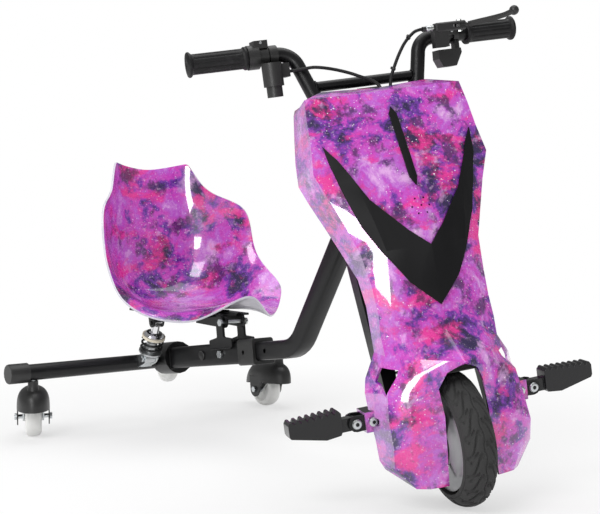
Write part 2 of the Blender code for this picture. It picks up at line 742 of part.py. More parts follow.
def seat_surface():
    """The bucket's inner face as a half grid from its front rim to the top of its back.

    Each row gives the centre's y and z, the height of the pommel between the legs, the rim's
    x, y and z, and how late the side turns up and runs back.
    """
    rows = [
        (0.503, 0.224, 0.055, 0.182, 0.654, 0.274, 7, 1.25),
        (0.560, PAN_Z, 0.026, 0.176, 0.685, 0.298, 5, 1.5),
        (0.640, PAN_Z, 0.004, 0.168, 0.720, 0.327, 5, 1.7),
        (0.740, PAN_Z, 0.000, 0.166, 0.734, 0.364, 4.5, 1.5),
        (0.820, 0.243, 0.000, 0.163, 0.743, 0.4245, 3.5, 3.0),
        (0.846, 0.290, 0.000, 0.135, 0.775, 0.442, 3.5, 4.5),
        (0.852, 0.370, 0.000, 0.107, 0.808, 0.457, 3.0, 4.0),
        (0.858, 0.440, 0.000, 0.092, 0.830, 0.490, 2.5, 4.0),
        (0.863, 0.501, 0.000, 0.082, 0.840, 0.515, 1.5, 3.0),
    ]
    shares = (0, 0.23, 0.45, 0.64, 0.8, 0.92, 1)
    pommel_half = 0.084
    bm = bmesh.new()
    grid = []
    for y0, z0, pommel, x1, y1, z1, rise, back in rows:
        line = []
        for share in shares:
            x = x1 * share
            bump = math.cos(math.pi * min(x / pommel_half, 1)) / 2 + 0.5
            point = (x, mix(y0, y1, share ** back), mix(z0, z1, share ** rise) + pommel * bump)
            line.append(bm.verts.new(point))
        grid.append(line)
    for low, high in zip(grid, grid[1:]):
        for j in range(len(shares) - 1):
            bm.faces.new((low[j], low[j + 1], high[j + 1], high[j]))
    return mesh_from(bm, "seat_surface")


def seat():
    shell = add("seat_shell", seat_surface(), SEAT, look=PRINT)
    mirror = shell.modifiers.new("Mirror", "MIRROR")
    mirror.merge_threshold = 0.0001
    soft = shell.modifiers.new("Subdivision", "SUBSURF")
    soft.levels = 1
    soft.render_levels = 1
    wall = shell.modifiers.new("Solidify", "SOLIDIFY")
    wall.thickness = SHELL_THICK
    wall.offset = -1
    shell.data.shade_smooth()

    top = PAN_Z - SHELL_THICK - 2 * GAP
    base = add("seat_base", box(2 * BASE_HALF, BASE_REAR_Y - BASE_FRONT_Y, BASE_THICK), SEAT,
               (0, (BASE_FRONT_Y + BASE_REAR_Y) / 2, top - BASE_THICK / 2), look=BLACK_PAINT)
    outer = REAR_TUBE / 2
    low = top - BASE_THICK
    tail = BASE_FRONT_Y + 0.05
    round_end = [math.pi * (0.5 + i / 8) for i in range(9)]
    tab = [(PIVOT_Y + 0.010 * math.cos(a), PIVOT_Z + 0.010 * math.sin(a)) for a in round_end]
    tab += [(tail, low - 0.014), (tail, low + 0.001), (BASE_FRONT_Y, low + 0.001)]
    for side in (1, -1):
        plate = add("seat_tab", slab([tab], TAB_THICK, SIDE), SEAT,
                    (side * (outer - TAB_THICK / 2), 0, 0))
        carve(base, plate, "UNION")
    hole = add("tab_hole", rod(PIVOT_RADIUS + GAP, 0.1, "X", 12), SEAT, (0, PIVOT_Y, PIVOT_Z))
    carve(base, hole)

    plate = 0.003
    inner = 0.008 + 2 * GAP
    ear = clevis_outline(SHOCK_HIGH, (SHOCK_HIGH[0], low + 0.001), 0.009, 0.014)
    for side in (1, -1):
        lug = add("shock_lug", slab([ear], plate, SIDE), SEAT,
                  (SHOCK_X + side * (inner + plate / 2), 0, 0))
        carve(base, lug, "UNION")
    pin = add("shock_pin", rod(EYE_BOLT, 2 * (inner + plate + 0.003), "X", 12), SEAT,
              (SHOCK_X, *SHOCK_HIGH))
    carve(base, pin, "UNION")


# Shock absorber, drawn upright from its lower eye

def spring_points():
    """One unbroken helix whose ends run level for a tube diameter."""
    per_turn = 9
    count = int(SPRING_TURNS * per_turn)
    points = []
    rise = SPRING_HEAD - SPRING_FOOT - 2 * SPRING_WIRE
    for i in range(count + 1):
        angle = 2 * math.pi * SPRING_TURNS * i / count
        points.append(Vector((SPRING_RADIUS * math.cos(angle), SPRING_RADIUS * math.sin(angle),
                              SPRING_FOOT + SPRING_WIRE + rise * i / count)))
    first = (points[0] - points[1]).normalized()
    last = (points[-1] - points[-2]).normalized()
    first.z = 0
    last.z = 0
    points.insert(0, points[0] + first.normalized() * 2 * SPRING_WIRE)
    points.append(points[-1] + last.normalized() * 2 * SPRING_WIRE)
    return points


def least_gap(points, radius):
    """Least gap of a tube to itself, between points over a quarter turn apart."""
    fine = []
    for a, b in zip(points, points[1:]):
        fine += [a.lerp(b, i / 8) for i in range(8)]
    least = 1.0
    for i, a in enumerate(fine):
        for b in fine[i + 30:]:
            least = min(least, (a - b).length)
    return least - 2 * radius


def shock():
    turn = SHOCK_LEAN
    SHOCK.empty.rotation_euler = (turn, 0, 0)
    foot = Vector((SHOCK_X, *SHOCK_LOW))

    def up(height):
        return foot + Vector((0, 0, height))

    seat_height = SPRING_FOOT - GAP
    bore = ROD_RADIUS + GAP
    body = turned("shock_body", [(bore, DAMPER_TOP), (DAMPER_RADIUS, DAMPER_TOP),
                                 (DAMPER_RADIUS, seat_height), (CUP_RIM_RADIUS, seat_height),
                                 (CUP_RIM_RADIUS, seat_height - 0.003),
                                 (DAMPER_RADIUS, seat_height - 0.0045),
                                 (DAMPER_RADIUS * 0.7, 0.006), (0, 0.006),
                                 (0, 0.0100), (bore, 0.0100)],
                  SHOCK, foot, look=ALLOY, closed=True)
    eye = add("lower_eye", rod(EYE_RADIUS, EYE_WIDTH, "X"), SHOCK, foot)
    carve(body, eye, "UNION")
    hole = add("lower_eye_hole", rod(EYE_BOLT + GAP, 0.05, "X", 12), SHOCK, foot)
    carve(body, hole)
    smooth(body)

    points = spring_points()
    spring = add("shock_spring", tube(points, SPRING_WIRE, 1), SHOCK, foot, look=BLACK_PAINT)
    smooth(spring, 60)
    print("Spring's least gap to itself, mm:", round(1000 * least_gap(points, SPRING_WIRE), 2))

    cup = SPRING_HEAD + GAP
    eye_low = SHOCK_LENGTH - EYE_RADIUS * 0.6
    shaft = turned("shock_shaft", [(0, eye_low), (0.008, eye_low), (0.008, cup + 0.012),
                                   (CUP_RIM_RADIUS - 0.007, cup + 0.011),
                                   (CUP_RIM_RADIUS - 0.003, cup + 0.006),
                                   (CUP_RIM_RADIUS - 0.003, cup), (ROD_RADIUS, cup),
                                   (ROD_RADIUS, 0.0195), (0, 0.0195)],
                   SHOCK, foot, look=CHROME)
    top_eye = add("upper_eye", rod(0.008, 0.016, "X"), SHOCK, up(SHOCK_LENGTH))
    carve(shaft, top_eye, "UNION")
    slot = add("upper_eye_hole", rod(EYE_BOLT + 2 * GAP, 0.05, "X", 12), SHOCK, up(SHOCK_LENGTH))
    carve(shaft, slot)
    smooth(shaft)
    inner = CUP_RIM_RADIUS - 0.003 + GAP
    ring = turned("spring_ring", [(inner, cup + 0.0055), (CUP_RIM_RADIUS, cup + 0.0055),
                                  (CUP_RIM_RADIUS, cup), (inner, cup)],
                  SHOCK, foot, look=CREAM, closed=True)
    smooth(ring)


# Sliding front frame

def bent_outline(half, start, end):
    """The bent frame tube from the side: two parallel lines with concentric arcs."""
    low = Vector((BEND_Y, tube_z(BEND_Y)))
    back = (start - low).normalized()
    rise = (end - low).normalized()
    n_back = Vector((-back.y, back.x))
    n_rise = Vector((rise.y, -rise.x))
    corner = (n_back + n_rise) / (1 + n_back.dot(n_rise))
    inside = low + corner * half
    outside = low - corner * half
    return rounded([start + n_back * half, inside, end + n_rise * half, end - n_rise * half,
                    outside, start - n_back * half],
                   (0, BEND_RADIUS - half, 0, 0, BEND_RADIUS + half, 0), steps=5)


def front_frame():
    end_y = COLLAR_FRONT_Y + COLLAR_LENGTH + TUBE_INSIDE
    start = Vector((end_y, tube_z(end_y)))
    head = Vector(((TUBE_MEETS_Z - AXLE_Z) * math.tan(RAKE) - TRAIL, TUBE_MEETS_Z))
    low = Vector((BEND_Y, tube_z(BEND_Y)))
    made = add("front_tube", slab([bent_outline(FRONT_TUBE / 2, start, head)], FRONT_TUBE, SIDE),
               SLIDE, look=BLACK_PAINT)
    merge_flat(made.data)
    soften(made, TUBE_CORNER, 2, 40)
    beyond = (start - low).normalized() * 0.01
    past = (head - low).normalized() * 0.01
    hollow = FRONT_TUBE - 2 * FRONT_TUBE_WALL
    inside = add("front_tube_bore",
                 slab([bent_outline(hollow / 2, start + beyond, head + past)], hollow, SIDE), SLIDE)
    carve(made, inside)
    head_cut = add("head_cut", rod(HEAD_OUTER + GAP, 2 * HEAD_LENGTH, "Z", 24), SLIDE,
                   (0, HEAD_Y, HEAD_Z), RAKED)
    carve(made, head_cut)
    pin_y = COLLAR_FRONT_Y + COLLAR_LENGTH * 0.65
    for step in range(2):
        y = pin_y - HOLE_PITCH * step
        hole = add("slide_hole", rod(PIVOT_RADIUS, FRONT_TUBE / 2, "X", 12), SLIDE,
                   (-FRONT_TUBE / 2, y, tube_z(y)))
        carve(made, hole)

    half = HEAD_LENGTH / 2
    inner = HEAD_OUTER - HEAD_WALL
    head_tube = turned("head_tube", [(HEAD_OUTER, half), (HEAD_OUTER, -half), (inner, -half),
                                     (inner, half)],
                       SLIDE, (0, HEAD_Y, HEAD_Z), RAKED, BLACK_PAINT, 24, True)
    smooth(head_tube)
    bore = STEERER_RADIUS + GAP
    for word, side in (("upper", 1), ("lower", -1)):
        near = half + GAP
        far = near + CUP_HEIGHT
        profile = [(bore, far), (CUP_RADIUS - 0.003, far), (CUP_RADIUS, far - 0.003),
                   (CUP_RADIUS, near), (bore, near)]
        cup = turned("headset_cup_" + word, profile, SLIDE, (0, HEAD_Y, HEAD_Z),
                     (-RAKE + (0 if side > 0 else math.pi), 0, 0), ZINC, closed=True)
        smooth(cup)


# Steered front

def fork():
    outer = LEG_INNER + LEG_WIDTH
    axle_back, axle_up = to_axis(0, AXLE_Z)
    depth = CROWN_FRONT + LEG_DEPTH
    made = add("fork", box(2 * outer, depth, CROWN_HEIGHT), STEER,
               on_axis(0, LEG_DEPTH - depth / 2, CROWN_TOP - CROWN_HEIGHT / 2), RAKED, BLACK_PAINT)
    steerer_top = CLAMP_LOW + 0.0125
    steerer = add("steerer", rod(STEERER_RADIUS, steerer_top - CROWN_TOP + 0.004), STEER,
                  on_axis(0, 0, (steerer_top + CROWN_TOP - 0.004) / 2), RAKED)
    carve(made, steerer, "UNION")
    tip = axle_up - 0.015
    leg = rounded([(0, CROWN_TOP - CROWN_HEIGHT / 2), (0, tip), (LEG_DEPTH, tip),
                   (LEG_DEPTH, CROWN_TOP - CROWN_HEIGHT / 2)], (0, 0.010, 0.010, 0), steps=4)
    for side in (1, -1):
        plate = add("fork_leg", slab([leg], LEG_WIDTH, SIDE), STEER,
                    on_axis(side * (LEG_INNER + LEG_WIDTH / 2), 0, 0), RAKED)
        carve(made, plate, "UNION")
    hole = add("axle_hole", rod(AXLE_RADIUS + GAP, 0.3, "X", 12), STEER, (0, 0, AXLE_Z))
    carve(made, hole)
    bolt_with_heads("wheel_axle", AXLE_RADIUS, outer + GAP, 0.0105, 0.007, STEER, (0, 0, AXLE_Z),
                    "X", ZINC)

    front = -CROWN_FRONT - GAP
    edge = outer - 0.004
    channel = [(-edge, -GAP), (-edge, front - PLATE_THICK), (edge, front - PLATE_THICK),
               (edge, -GAP), (edge - PLATE_THICK, -GAP), (edge - PLATE_THICK, front),
               (PLATE_THICK - edge, front), (PLATE_THICK - edge, -GAP)]
    add("mount_plate", slab([channel], PLATE_LENGTH, TOP), STEER,
        on_axis(0, 0, PLATE_TOP - PLATE_LENGTH / 2), RAKED, ZINC)


def mudguard():
    """The black plate over the tyre, tied to the inner faces of the fork's legs."""
    def ring_point(radius, degrees):
        angle = math.radians(degrees)
        return (radius * math.sin(angle), AXLE_Z + radius * math.cos(angle))

    turns = [mix(GUARD_FRONT, GUARD_REAR, i / 9) for i in range(10)]
    outline = [ring_point(GUARD_RADIUS, turn) for turn in turns]
    outline += [ring_point(GUARD_RADIUS - GUARD_THICK, turn) for turn in reversed(turns)]
    guard = add("mudguard", slab([outline], 2 * GUARD_HALF, SIDE), STEER, look=BLACK_PLASTIC)
    smooth(guard)
    back, up = to_axis(0, AXLE_Z)
    offset = LEG_DEPTH / 2 - back
    height = up + math.sqrt(GUARD_RADIUS ** 2 - offset ** 2) - GUARD_THICK
    foot_width, foot_height = 0.018, 0.014
    foot_x = LEG_INNER - GAP - GUARD_THICK / 2
    inner = GUARD_HALF - 0.004
    for side in (1, -1):
        arm = add("guard_arm", box(foot_x - inner, foot_width - 0.003, GUARD_THICK * 1.2), STEER,
                  on_axis(side * (foot_x + inner) / 2, LEG_DEPTH / 2, height), RAKED)
        carve(guard, arm, "UNION")
        foot = add("guard_foot", box(GUARD_THICK, foot_width, foot_height), STEER,
                   on_axis(side * foot_x, LEG_DEPTH / 2, height + foot_height / 4), RAKED)
        carve(guard, foot, "UNION")


def front_wheel():
    centre = (0, 0, AXLE_Z)
    half = TYRE_SECTION * math.cos(math.radians(8))
    crown = [(RIM_RADIUS + TYRE_SECTION * math.cos(a), -TYRE_SECTION * math.sin(a))
             for a in [math.radians(-82 + 164 * i / 7) for i in range(8)]]
    profile = crown + [(RIM_RADIUS, 0.002 - half), (RIM_RADIUS, half - 0.002)]
    tyre = turned("tyre", profile, STEER, centre, (0, math.pi / 2, 0), RUBBER, 32, True)
    smooth(tyre, 50)
    edge = RIM_RADIUS - GAP
    boss = LEG_INNER - GAP
    bore = AXLE_RADIUS + GAP
    side = [(bore, boss), (0.013, boss), (0.014, 0.041), (0.045, 0.035), (edge, 0.022)]
    mirrored = [(radius, -height) for radius, height in reversed(side)]
    hub = turned("hub_motor", side + mirrored, STEER, centre, (0, math.pi / 2, 0), ALLOY, 32, True)
    smooth(hub)


# Cowl stations from the top down. Each row holds the centre line (or, below the fender's lip, the
# edge of the wheel arch), the front corner and the side wall's rear edge, as (x, y, z).
COWL_ROWS = [
    ((0, 0.1455, 0.608), (0.085, 0.152, 0.612), (0.116, 0.196, 0.590)),
    ((0, 0.112, 0.602), (0.123, 0.118, 0.602), (0.127, 0.168, 0.582)),
    ((0, 0.098, 0.577), (0.127, 0.105, 0.570), (0.136, 0.150, 0.548)),
    ((0, 0.073, 0.533), (0.130, 0.091, 0.533), (0.144, 0.134, 0.512)),
    ((0, 0.052, 0.495), (0.136, 0.078, 0.495), (0.148, 0.120, 0.479)),
    ((0, 0.034, 0.462), (0.120, 0.068, 0.455), (0.138, 0.112, 0.452)),
    ((0, 0.0185, 0.424), (0.105, 0.055, 0.414), (0.124, 0.098, 0.417)),
    ((0, 0.0055, 0.379), (0.092, 0.045, 0.375), (0.110, 0.084, 0.381)),
    ((0, 0.000, 0.330), (0.087, 0.030, 0.330), (0.096, 0.060, 0.338)),
    ((0, -0.0045, 0.294), (0.0855, 0.020, 0.290), (0.0935, 0.0455, 0.300)),
    ((0, -0.012, 0.260), (0.0880, 0.016, 0.260), (0.0945, 0.0375, 0.262)),
    ((0, -0.0675, 0.220), (0.087, 0.010, 0.232), (0.0945, 0.034, 0.236)),
    ((0.023, -0.0525, 0.2065), (0.0875, -0.004, 0.205), (0.113, 0.034, 0.200)),
    ((0.034, -0.0425, 0.184), (0.099, -0.0128, 0.184), (0.116, 0.034, 0.180)),
    ((0.033, -0.051, 0.146), (0.104, -0.020, 0.146), (0.117, 0.024, 0.150)),
    ((0.035, -0.050, 0.100), (0.1055, -0.030, 0.112), (0.117, 0.010, 0.118)),
    ((0.037, -0.0495, 0.070), (0.1050, -0.022, 0.080), (0.1165, 0.006, 0.088)),
    ((0.038, -0.049, 0.048), (0.0786, -0.027, 0.0465), (0.108, 0.010, 0.072)),
]
COWL_BULGE = 0.007
# The window in each side wall, from the side: (y, z)
WINDOW = [(0.015, 0.217), (-0.010, 0.2135), (-0.0125, 0.178), (0.019, 0.197)]


def cowl_grid():
    """Half of the cowl's outer face, with a bulged line between the centre and the corner."""
    bm = bmesh.new()
    grid = []
    for centre, corner, rear in COWL_ROWS:
        centre, corner, rear = Vector(centre), Vector(corner), Vector(rear)
        inner = centre.lerp(corner, 0.3)
        outer = centre.lerp(corner, 0.65)
        inner.y -= COWL_BULGE * 0.5
        outer.y -= COWL_BULGE
        grid.append([bm.verts.new(point) for point in (centre, inner, outer, corner, rear)])
    for high, low in zip(grid, grid[1:]):
        for j in range(len(high) - 1):
            bm.faces.new((high[j], low[j], low[j + 1]))
            bm.faces.new((high[j], low[j + 1], high[j + 1]))
    return mesh_from(bm, "cowl_half")


def cowl_skin(name, thickness, offset, look=None):
    skin = add(name, cowl_grid(), STEER, look=look)
    mirror = skin.modifiers.new("Mirror", "MIRROR")
    mirror.merge_threshold = 0.0001
    wall = skin.modifiers.new("Solidify", "SOLIDIFY")
    wall.thickness = thickness
    wall.offset = offset
    wall.use_even_offset = True
    return skin


def cowl_y(z):
    """Depth of the cowl's outer face on its centre line."""
    for (high, _, _), (low, _, _) in zip(COWL_ROWS, COWL_ROWS[1:]):
        if low[2] <= z <= high[2]:
            return mix(low[1], high[1], (z - low[2]) / (high[2] - low[2]))
    return COWL_ROWS[0][0][1]


def cowl():
    shell = cowl_skin("cowl", COWL_THICK, -1, PRINT)
    for side in (1, -1):
        inner = 0.101
        half_y = ARM_HALF_Y + STUB_WALL
        half_z = ARM_HALF_Z + STUB_WALL
        stub = add("stub", box(STUB_END_X - inner, 2 * half_y, 2 * half_z), STEER,
                   (side * (STUB_END_X + inner) / 2, FOLD_Y, FOLD_Z))
        carve(shell, stub, "UNION")
        bore = add("stub_bore", box(0.1, 2 * (ARM_HALF_Y + GAP), 2 * (ARM_HALF_Z + GAP)), STEER,
                   (side * (inner + 0.02), FOLD_Y, FOLD_Z))
        carve(shell, bore)
        window = add("window", slab([WINDOW], 0.06, SIDE), STEER, (side * 0.105, 0, 0))
        carve(shell, window)
        bolt_hole = add("stub_bolt_hole", rod(FOLD_BOLT + GAP, 0.1, "Y", 12), STEER,
                        (side * STUB_BOLT_X, FOLD_Y, FOLD_Z))
        carve(shell, bolt_hole)
        depth = 0.012
        head_room = add("head_room", rod(STUB_HEAD + GAP, depth, "Y", 12), STEER,
                        (side * STUB_BOLT_X, FOLD_Y - half_y - depth / 2, FOLD_Z))
        carve(shell, head_room)
    ring = [(0.0, 0.0)] + circle(0, 0, HOLE_RING, 6)
    for x, up in ring:
        z = SPEAKER_Z + up * math.cos(RAKE)
        hole = add("speaker_hole", rod(HOLE_RADIUS, 0.04, "Y", 6), STEER, (x, cowl_y(z), z), RAKED)
        carve(shell, hole)

    lift = INLAY_THICK
    offset = 1 + 2 * GAP / lift
    right = [(0.115, 0.5326), (0.111, 0.5004), (0.099, 0.4555), (0.0857, 0.414), (0.0654, 0.375),
             (0.0373, 0.330), (0, 0.294)]
    inner_edge = [(0, 0.379), (0.0264, 0.403), (0.069, 0.451), (0.1005, 0.512)]
    outline = right + [(-x, z) for x, z in reversed(right[:-1])]
    outline += [(-x, z) for x, z in reversed(inner_edge[1:])] + inner_edge
    inlay = add("v_inlay", slab([outline], 0.3, FRONT), STEER, look=BLACK_PLASTIC)
    carve(inlay, cowl_skin("inlay_skin", lift, offset), "INTERSECT")
    fin_half = 0.0058
    fin_outline = [(0, 0.577), (fin_half, 0.567), (fin_half, 0.475), (0, 0.462),
                   (-fin_half, 0.475), (-fin_half, 0.567)]
    fin = add("centre_fin", slab([fin_outline], 0.3, FRONT), STEER, look=BLACK_PLASTIC)
    carve(fin, cowl_skin("fin_skin", lift, offset), "INTERSECT")


def inside_cowl():
    plate_face = -CROWN_FRONT - GAP - PLATE_THICK
    top = PLATE_TOP - 0.012
    bx, by, bz = BATTERY
    battery = add("battery", box(*BATTERY), STEER,
                  on_axis(0, plate_face - GAP - by / 2, top - bz / 2), RAKED, BLUE_WRAP)
    soften(battery, 0.003, 2)
    cx, cy, cz = CONTROLLER
    back = plate_face - GAP - by + cy / 2
    controller = add("controller", box(*CONTROLLER), STEER,
                     on_axis(0, back, top + GAP + cz / 2), RAKED, ALLOY)
    soften(controller, 0.0015)
    clear = COWL_BULGE + COWL_THICK + 0.005
    z = SPEAKER_Z
    profile = [(0, 0), (SPEAKER_RADIUS, 0), (SPEAKER_RADIUS, -0.003),
               (SPEAKER_RADIUS * 0.6, -0.012), (0, -0.012)]
    speaker = turned("speaker", profile, STEER,
                     (0, cowl_y(z) + clear * 0.62, z - clear * 0.25), (math.pi / 2 - RAKE, 0, 0),
                     BLACK_PLASTIC, 20)
    smooth(speaker)
    return on_axis(0, back, top + GAP + cz)


def bar_corners():
    half = [(BAR_HALF, BAR_Y, BAR_Z), (KNEE_X, BAR_Y, BAR_Z), (FOOT_X, FOOT_Y, FOOT_Z)]
    return half + [(-x, y, z) for x, y, z in reversed(half)]


def bar_tube(radius, resolution):
    bends = (0, KNEE_BEND, FOOT_BEND, FOOT_BEND, KNEE_BEND, 0)
    return tube(rounded(bar_corners(), bends, closed=False, steps=5), radius, resolution)


def handlebar():
    bar = add("handlebar", bar_tube(BAR_RADIUS, 2), STEER, look=BLACK_PAINT)
    smooth(bar)
    share = (BRACE_Z - FOOT_Z) / (BAR_Z - FOOT_Z)
    x, y = mix(FOOT_X, KNEE_X, share), mix(FOOT_Y, BAR_Y, share)
    brace = add("handlebar_brace", rod(BRACE_RADIUS, 2 * x, "X", 12), STEER, (0, y, BRACE_Z),
                look=BLACK_PAINT)
    around = add("bar_space", bar_tube(BAR_RADIUS + GAP, 2), STEER)
    carve(brace, around)
    smooth(brace)

    back, up = to_axis(FOOT_Y, FOOT_Z)
    block = 0.044
    top = up + BAR_RADIUS + 0.006
    clamp = add("handlebar_clamp", box(block, block, top - CLAMP_LOW), STEER,
                on_axis(0, back / 2, (top + CLAMP_LOW) / 2), RAKED, BLACK_PAINT)
    soften(clamp, 0.003)
    carve(clamp, around)
    socket = add("steerer_socket", rod(STEERER_RADIUS + GAP, 0.026), STEER,
                 on_axis(0, 0, CLAMP_LOW), RAKED)
    carve(clamp, socket)


def closed_grip(name, inner_x, side):
    bore = BAR_RADIUS + GAP
    end = BAR_HALF + GAP
    profile = [(bore, inner_x), (GRIP_RADIUS + 0.002, inner_x), (GRIP_RADIUS + 0.002, inner_x + 0.005),
               (GRIP_RADIUS, inner_x + 0.007), (GRIP_RADIUS, end - 0.003), (GRIP_FLANGE, end - 0.001),
               (GRIP_FLANGE, end + 0.002), (GRIP_FLANGE * 0.7, end + 0.0035), (0, end + 0.0035)]
    hollow = [(0, end), (bore, end), (bore, inner_x)]
    points = list(reversed(profile)) + list(reversed(hollow))[1:]
    grip = turned(name, points, STEER, (0, BAR_Y, BAR_Z), (0, side * math.pi / 2, 0), RUBBER)
    smooth(grip)
    return grip


def throttle_side():
    closed_grip("throttle_grip", THROTTLE_INNER_X, -1)
    bore = BAR_RADIUS + GAP
    inner, collar, outer = 0.1435, 0.158, THROTTLE_INNER_X - GAP
    housing = turned("throttle_housing", [(0.0185, outer), (0.0185, collar), (0.0150, collar),
                                          (0.0150, inner), (bore, inner), (bore, outer)],
                     STEER, (0, BAR_Y, BAR_Z), (0, -math.pi / 2, 0), BLACK_PLASTIC, closed=True)
    block = add("housing_block", box(0.0215, 0.026, 0.012), STEER, (-0.1545, BAR_Y, BAR_Z + 0.0175))
    carve(housing, block, "UNION")
    smooth(housing)

    barrel_x, barrel_y, barrel_z = -0.1455, BAR_Y - 0.0247, BAR_Z - 0.030
    unit = add("switch_unit", rod(0.0155, 0.035), STEER, (barrel_x, barrel_y, barrel_z),
               look=BLACK_PLASTIC)
    lower = add("barrel_foot", rod(0.0120, 0.018), STEER,
                (barrel_x, barrel_y, barrel_z - 0.0245))
    carve(unit, lower, "UNION")
    rear_y = BAR_Y + 0.002
    front_y = BAR_Y - 0.0275
    block = add("switch_block", box(0.024, rear_y - front_y, 0.021), STEER,
                (-0.1305, (rear_y + front_y) / 2, barrel_z + 0.005))
    carve(unit, block, "UNION")
    ring = add("switch_ring", rod(0.0150, 0.0130, "X"), STEER, (-0.1355, BAR_Y, BAR_Z))
    carve(unit, ring, "UNION")
    bar_bore = add("switch_bore", rod(bore, 0.06, "X"), STEER, (-0.1355, BAR_Y, BAR_Z))
    carve(unit, bar_bore)
    button, travel, depth = 0.006, 0.0025, 0.0046
    spot = Vector((-0.1295, rear_y, barrel_z + 0.004))
    pocket = add("button_pocket", rod(button + GAP, 2 * depth, "Y", 12), STEER, spot)
    carve(unit, pocket)
    length = 0.0052
    press = add("horn_button", rod(button, length, "Y", 12), STEER,
                spot + Vector((0, travel + GAP + length / 2 - depth, 0)),
                look=material("red plastic", (0.5, 0.02, 0.02), 0.4))
    soften(press, 0.0008, 1, 60)


def brake_side():
    closed_grip("left_grip", GRIP_INNER_X, 1)
    lever_at = Vector((0.1595, BAR_Y - 0.0385, BAR_Z + 0.0105))
    slot = 0.005
    body = add("brake_body", box(0.051, 0.018, 0.014), STEER, (0.1425, lever_at.y, lever_at.z),
               look=BLACK_PLASTIC)
    soften(body, 0.002)
    bridge = add("brake_bridge", box(0.0142, 0.036, 0.0126), STEER,
                 (0.1455, lever_at.y + 0.018, BAR_Z + 0.004))
    carve(body, bridge, "UNION")
    ring = add("brake_ring", rod(0.0165, 0.015, "X"), STEER, (0.1455, BAR_Y, BAR_Z))
    carve(body, ring, "UNION")
    switch = add("brake_switch", box(0.023, 0.0152, 0.0276), STEER,
                 (0.1255, lever_at.y + 0.0008, BAR_Z - 0.006))
    carve(body, switch, "UNION")
    barrel = add("cable_adjuster", rod(0.004, 0.022, "X", 12), STEER,
                 (0.108, lever_at.y, lever_at.z))
    carve(body, barrel, "UNION")
    bar_bore = add("brake_bore", rod(BAR_RADIUS + GAP, 0.06, "X"), STEER, (0.1455, BAR_Y, BAR_Z))
    carve(body, bar_bore)
    gap_x = 0.146
    slot_cut = add("lever_slot", box(0.05, 0.03, slot), STEER,
                   (gap_x + 0.025, lever_at.y, lever_at.z))
    carve(body, slot_cut)
    hole = add("lever_hole", rod(0.0025 + GAP, 0.04, "Z", 12), STEER, lever_at)
    carve(body, hole)
    bolt_with_heads("lever_pivot", 0.0025, 0.007 + GAP, 0.0042, 0.002, STEER, lever_at, "Z", ZINC)

    tongue = [(-0.0075, -0.004), (-0.0015, -0.007), (0.0165, -0.007), (0.0225, -0.004),
              (0.0165, 0.004), (-0.0015, 0.006), (-0.0075, 0.003)]
    lever = add("brake_lever", slab([rounded(tongue, 0.002, steps=2)], slot - 2 * GAP, TOP), STEER,
                lever_at, look=BLACK_PLASTIC)
    bends = [(0.015, -0.002, 0.0005), (0.0325, -0.0055, 0.0025), (0.0555, -0.008, 0.005),
             (0.0785, -0.0055, 0.0085), (0.0965, 0, 0.014)]
    blade = [lever_at + Vector(bend) for bend in bends]
    arm = add("lever_arm", tube(smooth_path(blade, 2), 0.0048, 1), STEER)
    carve(lever, arm, "UNION")
    knob = add("lever_ball", ball(0.0078), STEER, blade[-1])
    carve(lever, knob, "UNION")
    pin_hole = add("lever_pin_hole", rod(0.0025 + GAP, 0.04, "Z", 12), STEER, lever_at)
    carve(lever, pin_hole)

    top = BAR_Z - 0.0225
    face = [(0.127, top), (0.165, top), (0.166, top - 0.007), (0.155, top - 0.027),
            (0.1325, top - 0.027), (0.1265, top - 0.014)]
    display = add("display_box", slab([face], 0.026, FRONT), STEER, (0, BAR_Y - 0.0105, 0),
                  look=BLACK_PLASTIC)
    neck = add("display_neck", box(0.0072, 0.016, 0.020), STEER,
               (0.1645, BAR_Y - 0.0045, top + 0.003))
    carve(display, neck, "UNION")
    loop = add("display_ring", rod(0.0145, 0.008, "X"), STEER, (0.1645, BAR_Y, BAR_Z))
    carve(display, loop, "UNION")
    loop_bore = add("display_bore", rod(BAR_RADIUS + GAP, 0.04, "X"), STEER, (0.1645, BAR_Y, BAR_Z))
    carve(display, loop_bore)


def cables(controller_top):
    """Both cables run behind the cowl's top edge and down to the controller."""
    straight = 0.010
    ends = []
    for side in (1, -1):
        meet = controller_top + Vector((side * 0.015, 0, 0)) + STEER_AXIS * 2 * GAP
        ends.append((meet + STEER_AXIS * straight, meet))
    brake = [(0.0967, 0.172, 0.688), (0.0920, 0.172, 0.688), (0.080, 0.170, 0.684),
             (0.060, 0.163, 0.668), (0.040, 0.157, 0.640), (0.0265, 0.152, 0.611),
             (0.022, 0.132, 0.572), (0.018, 0.112, 0.532), *ends[0]]
    throttle = [(-0.1181, 0.187, 0.650), (-0.1120, 0.187, 0.650), (-0.098, 0.183, 0.6505),
                (-0.079, 0.178, 0.6505), (-0.050, 0.172, 0.643), (-0.020, 0.163, 0.630),
                (0.0079, 0.152, 0.611), (0.006, 0.131, 0.572), (-0.006, 0.112, 0.532), *ends[1]]
    for name, route in (("brake_cable", brake), ("throttle_cable", throttle)):
        cable = add(name, tube(smooth_path(route, 3), CABLE_RADIUS, 2), STEER, look=RUBBER)
        smooth(cable, 60)


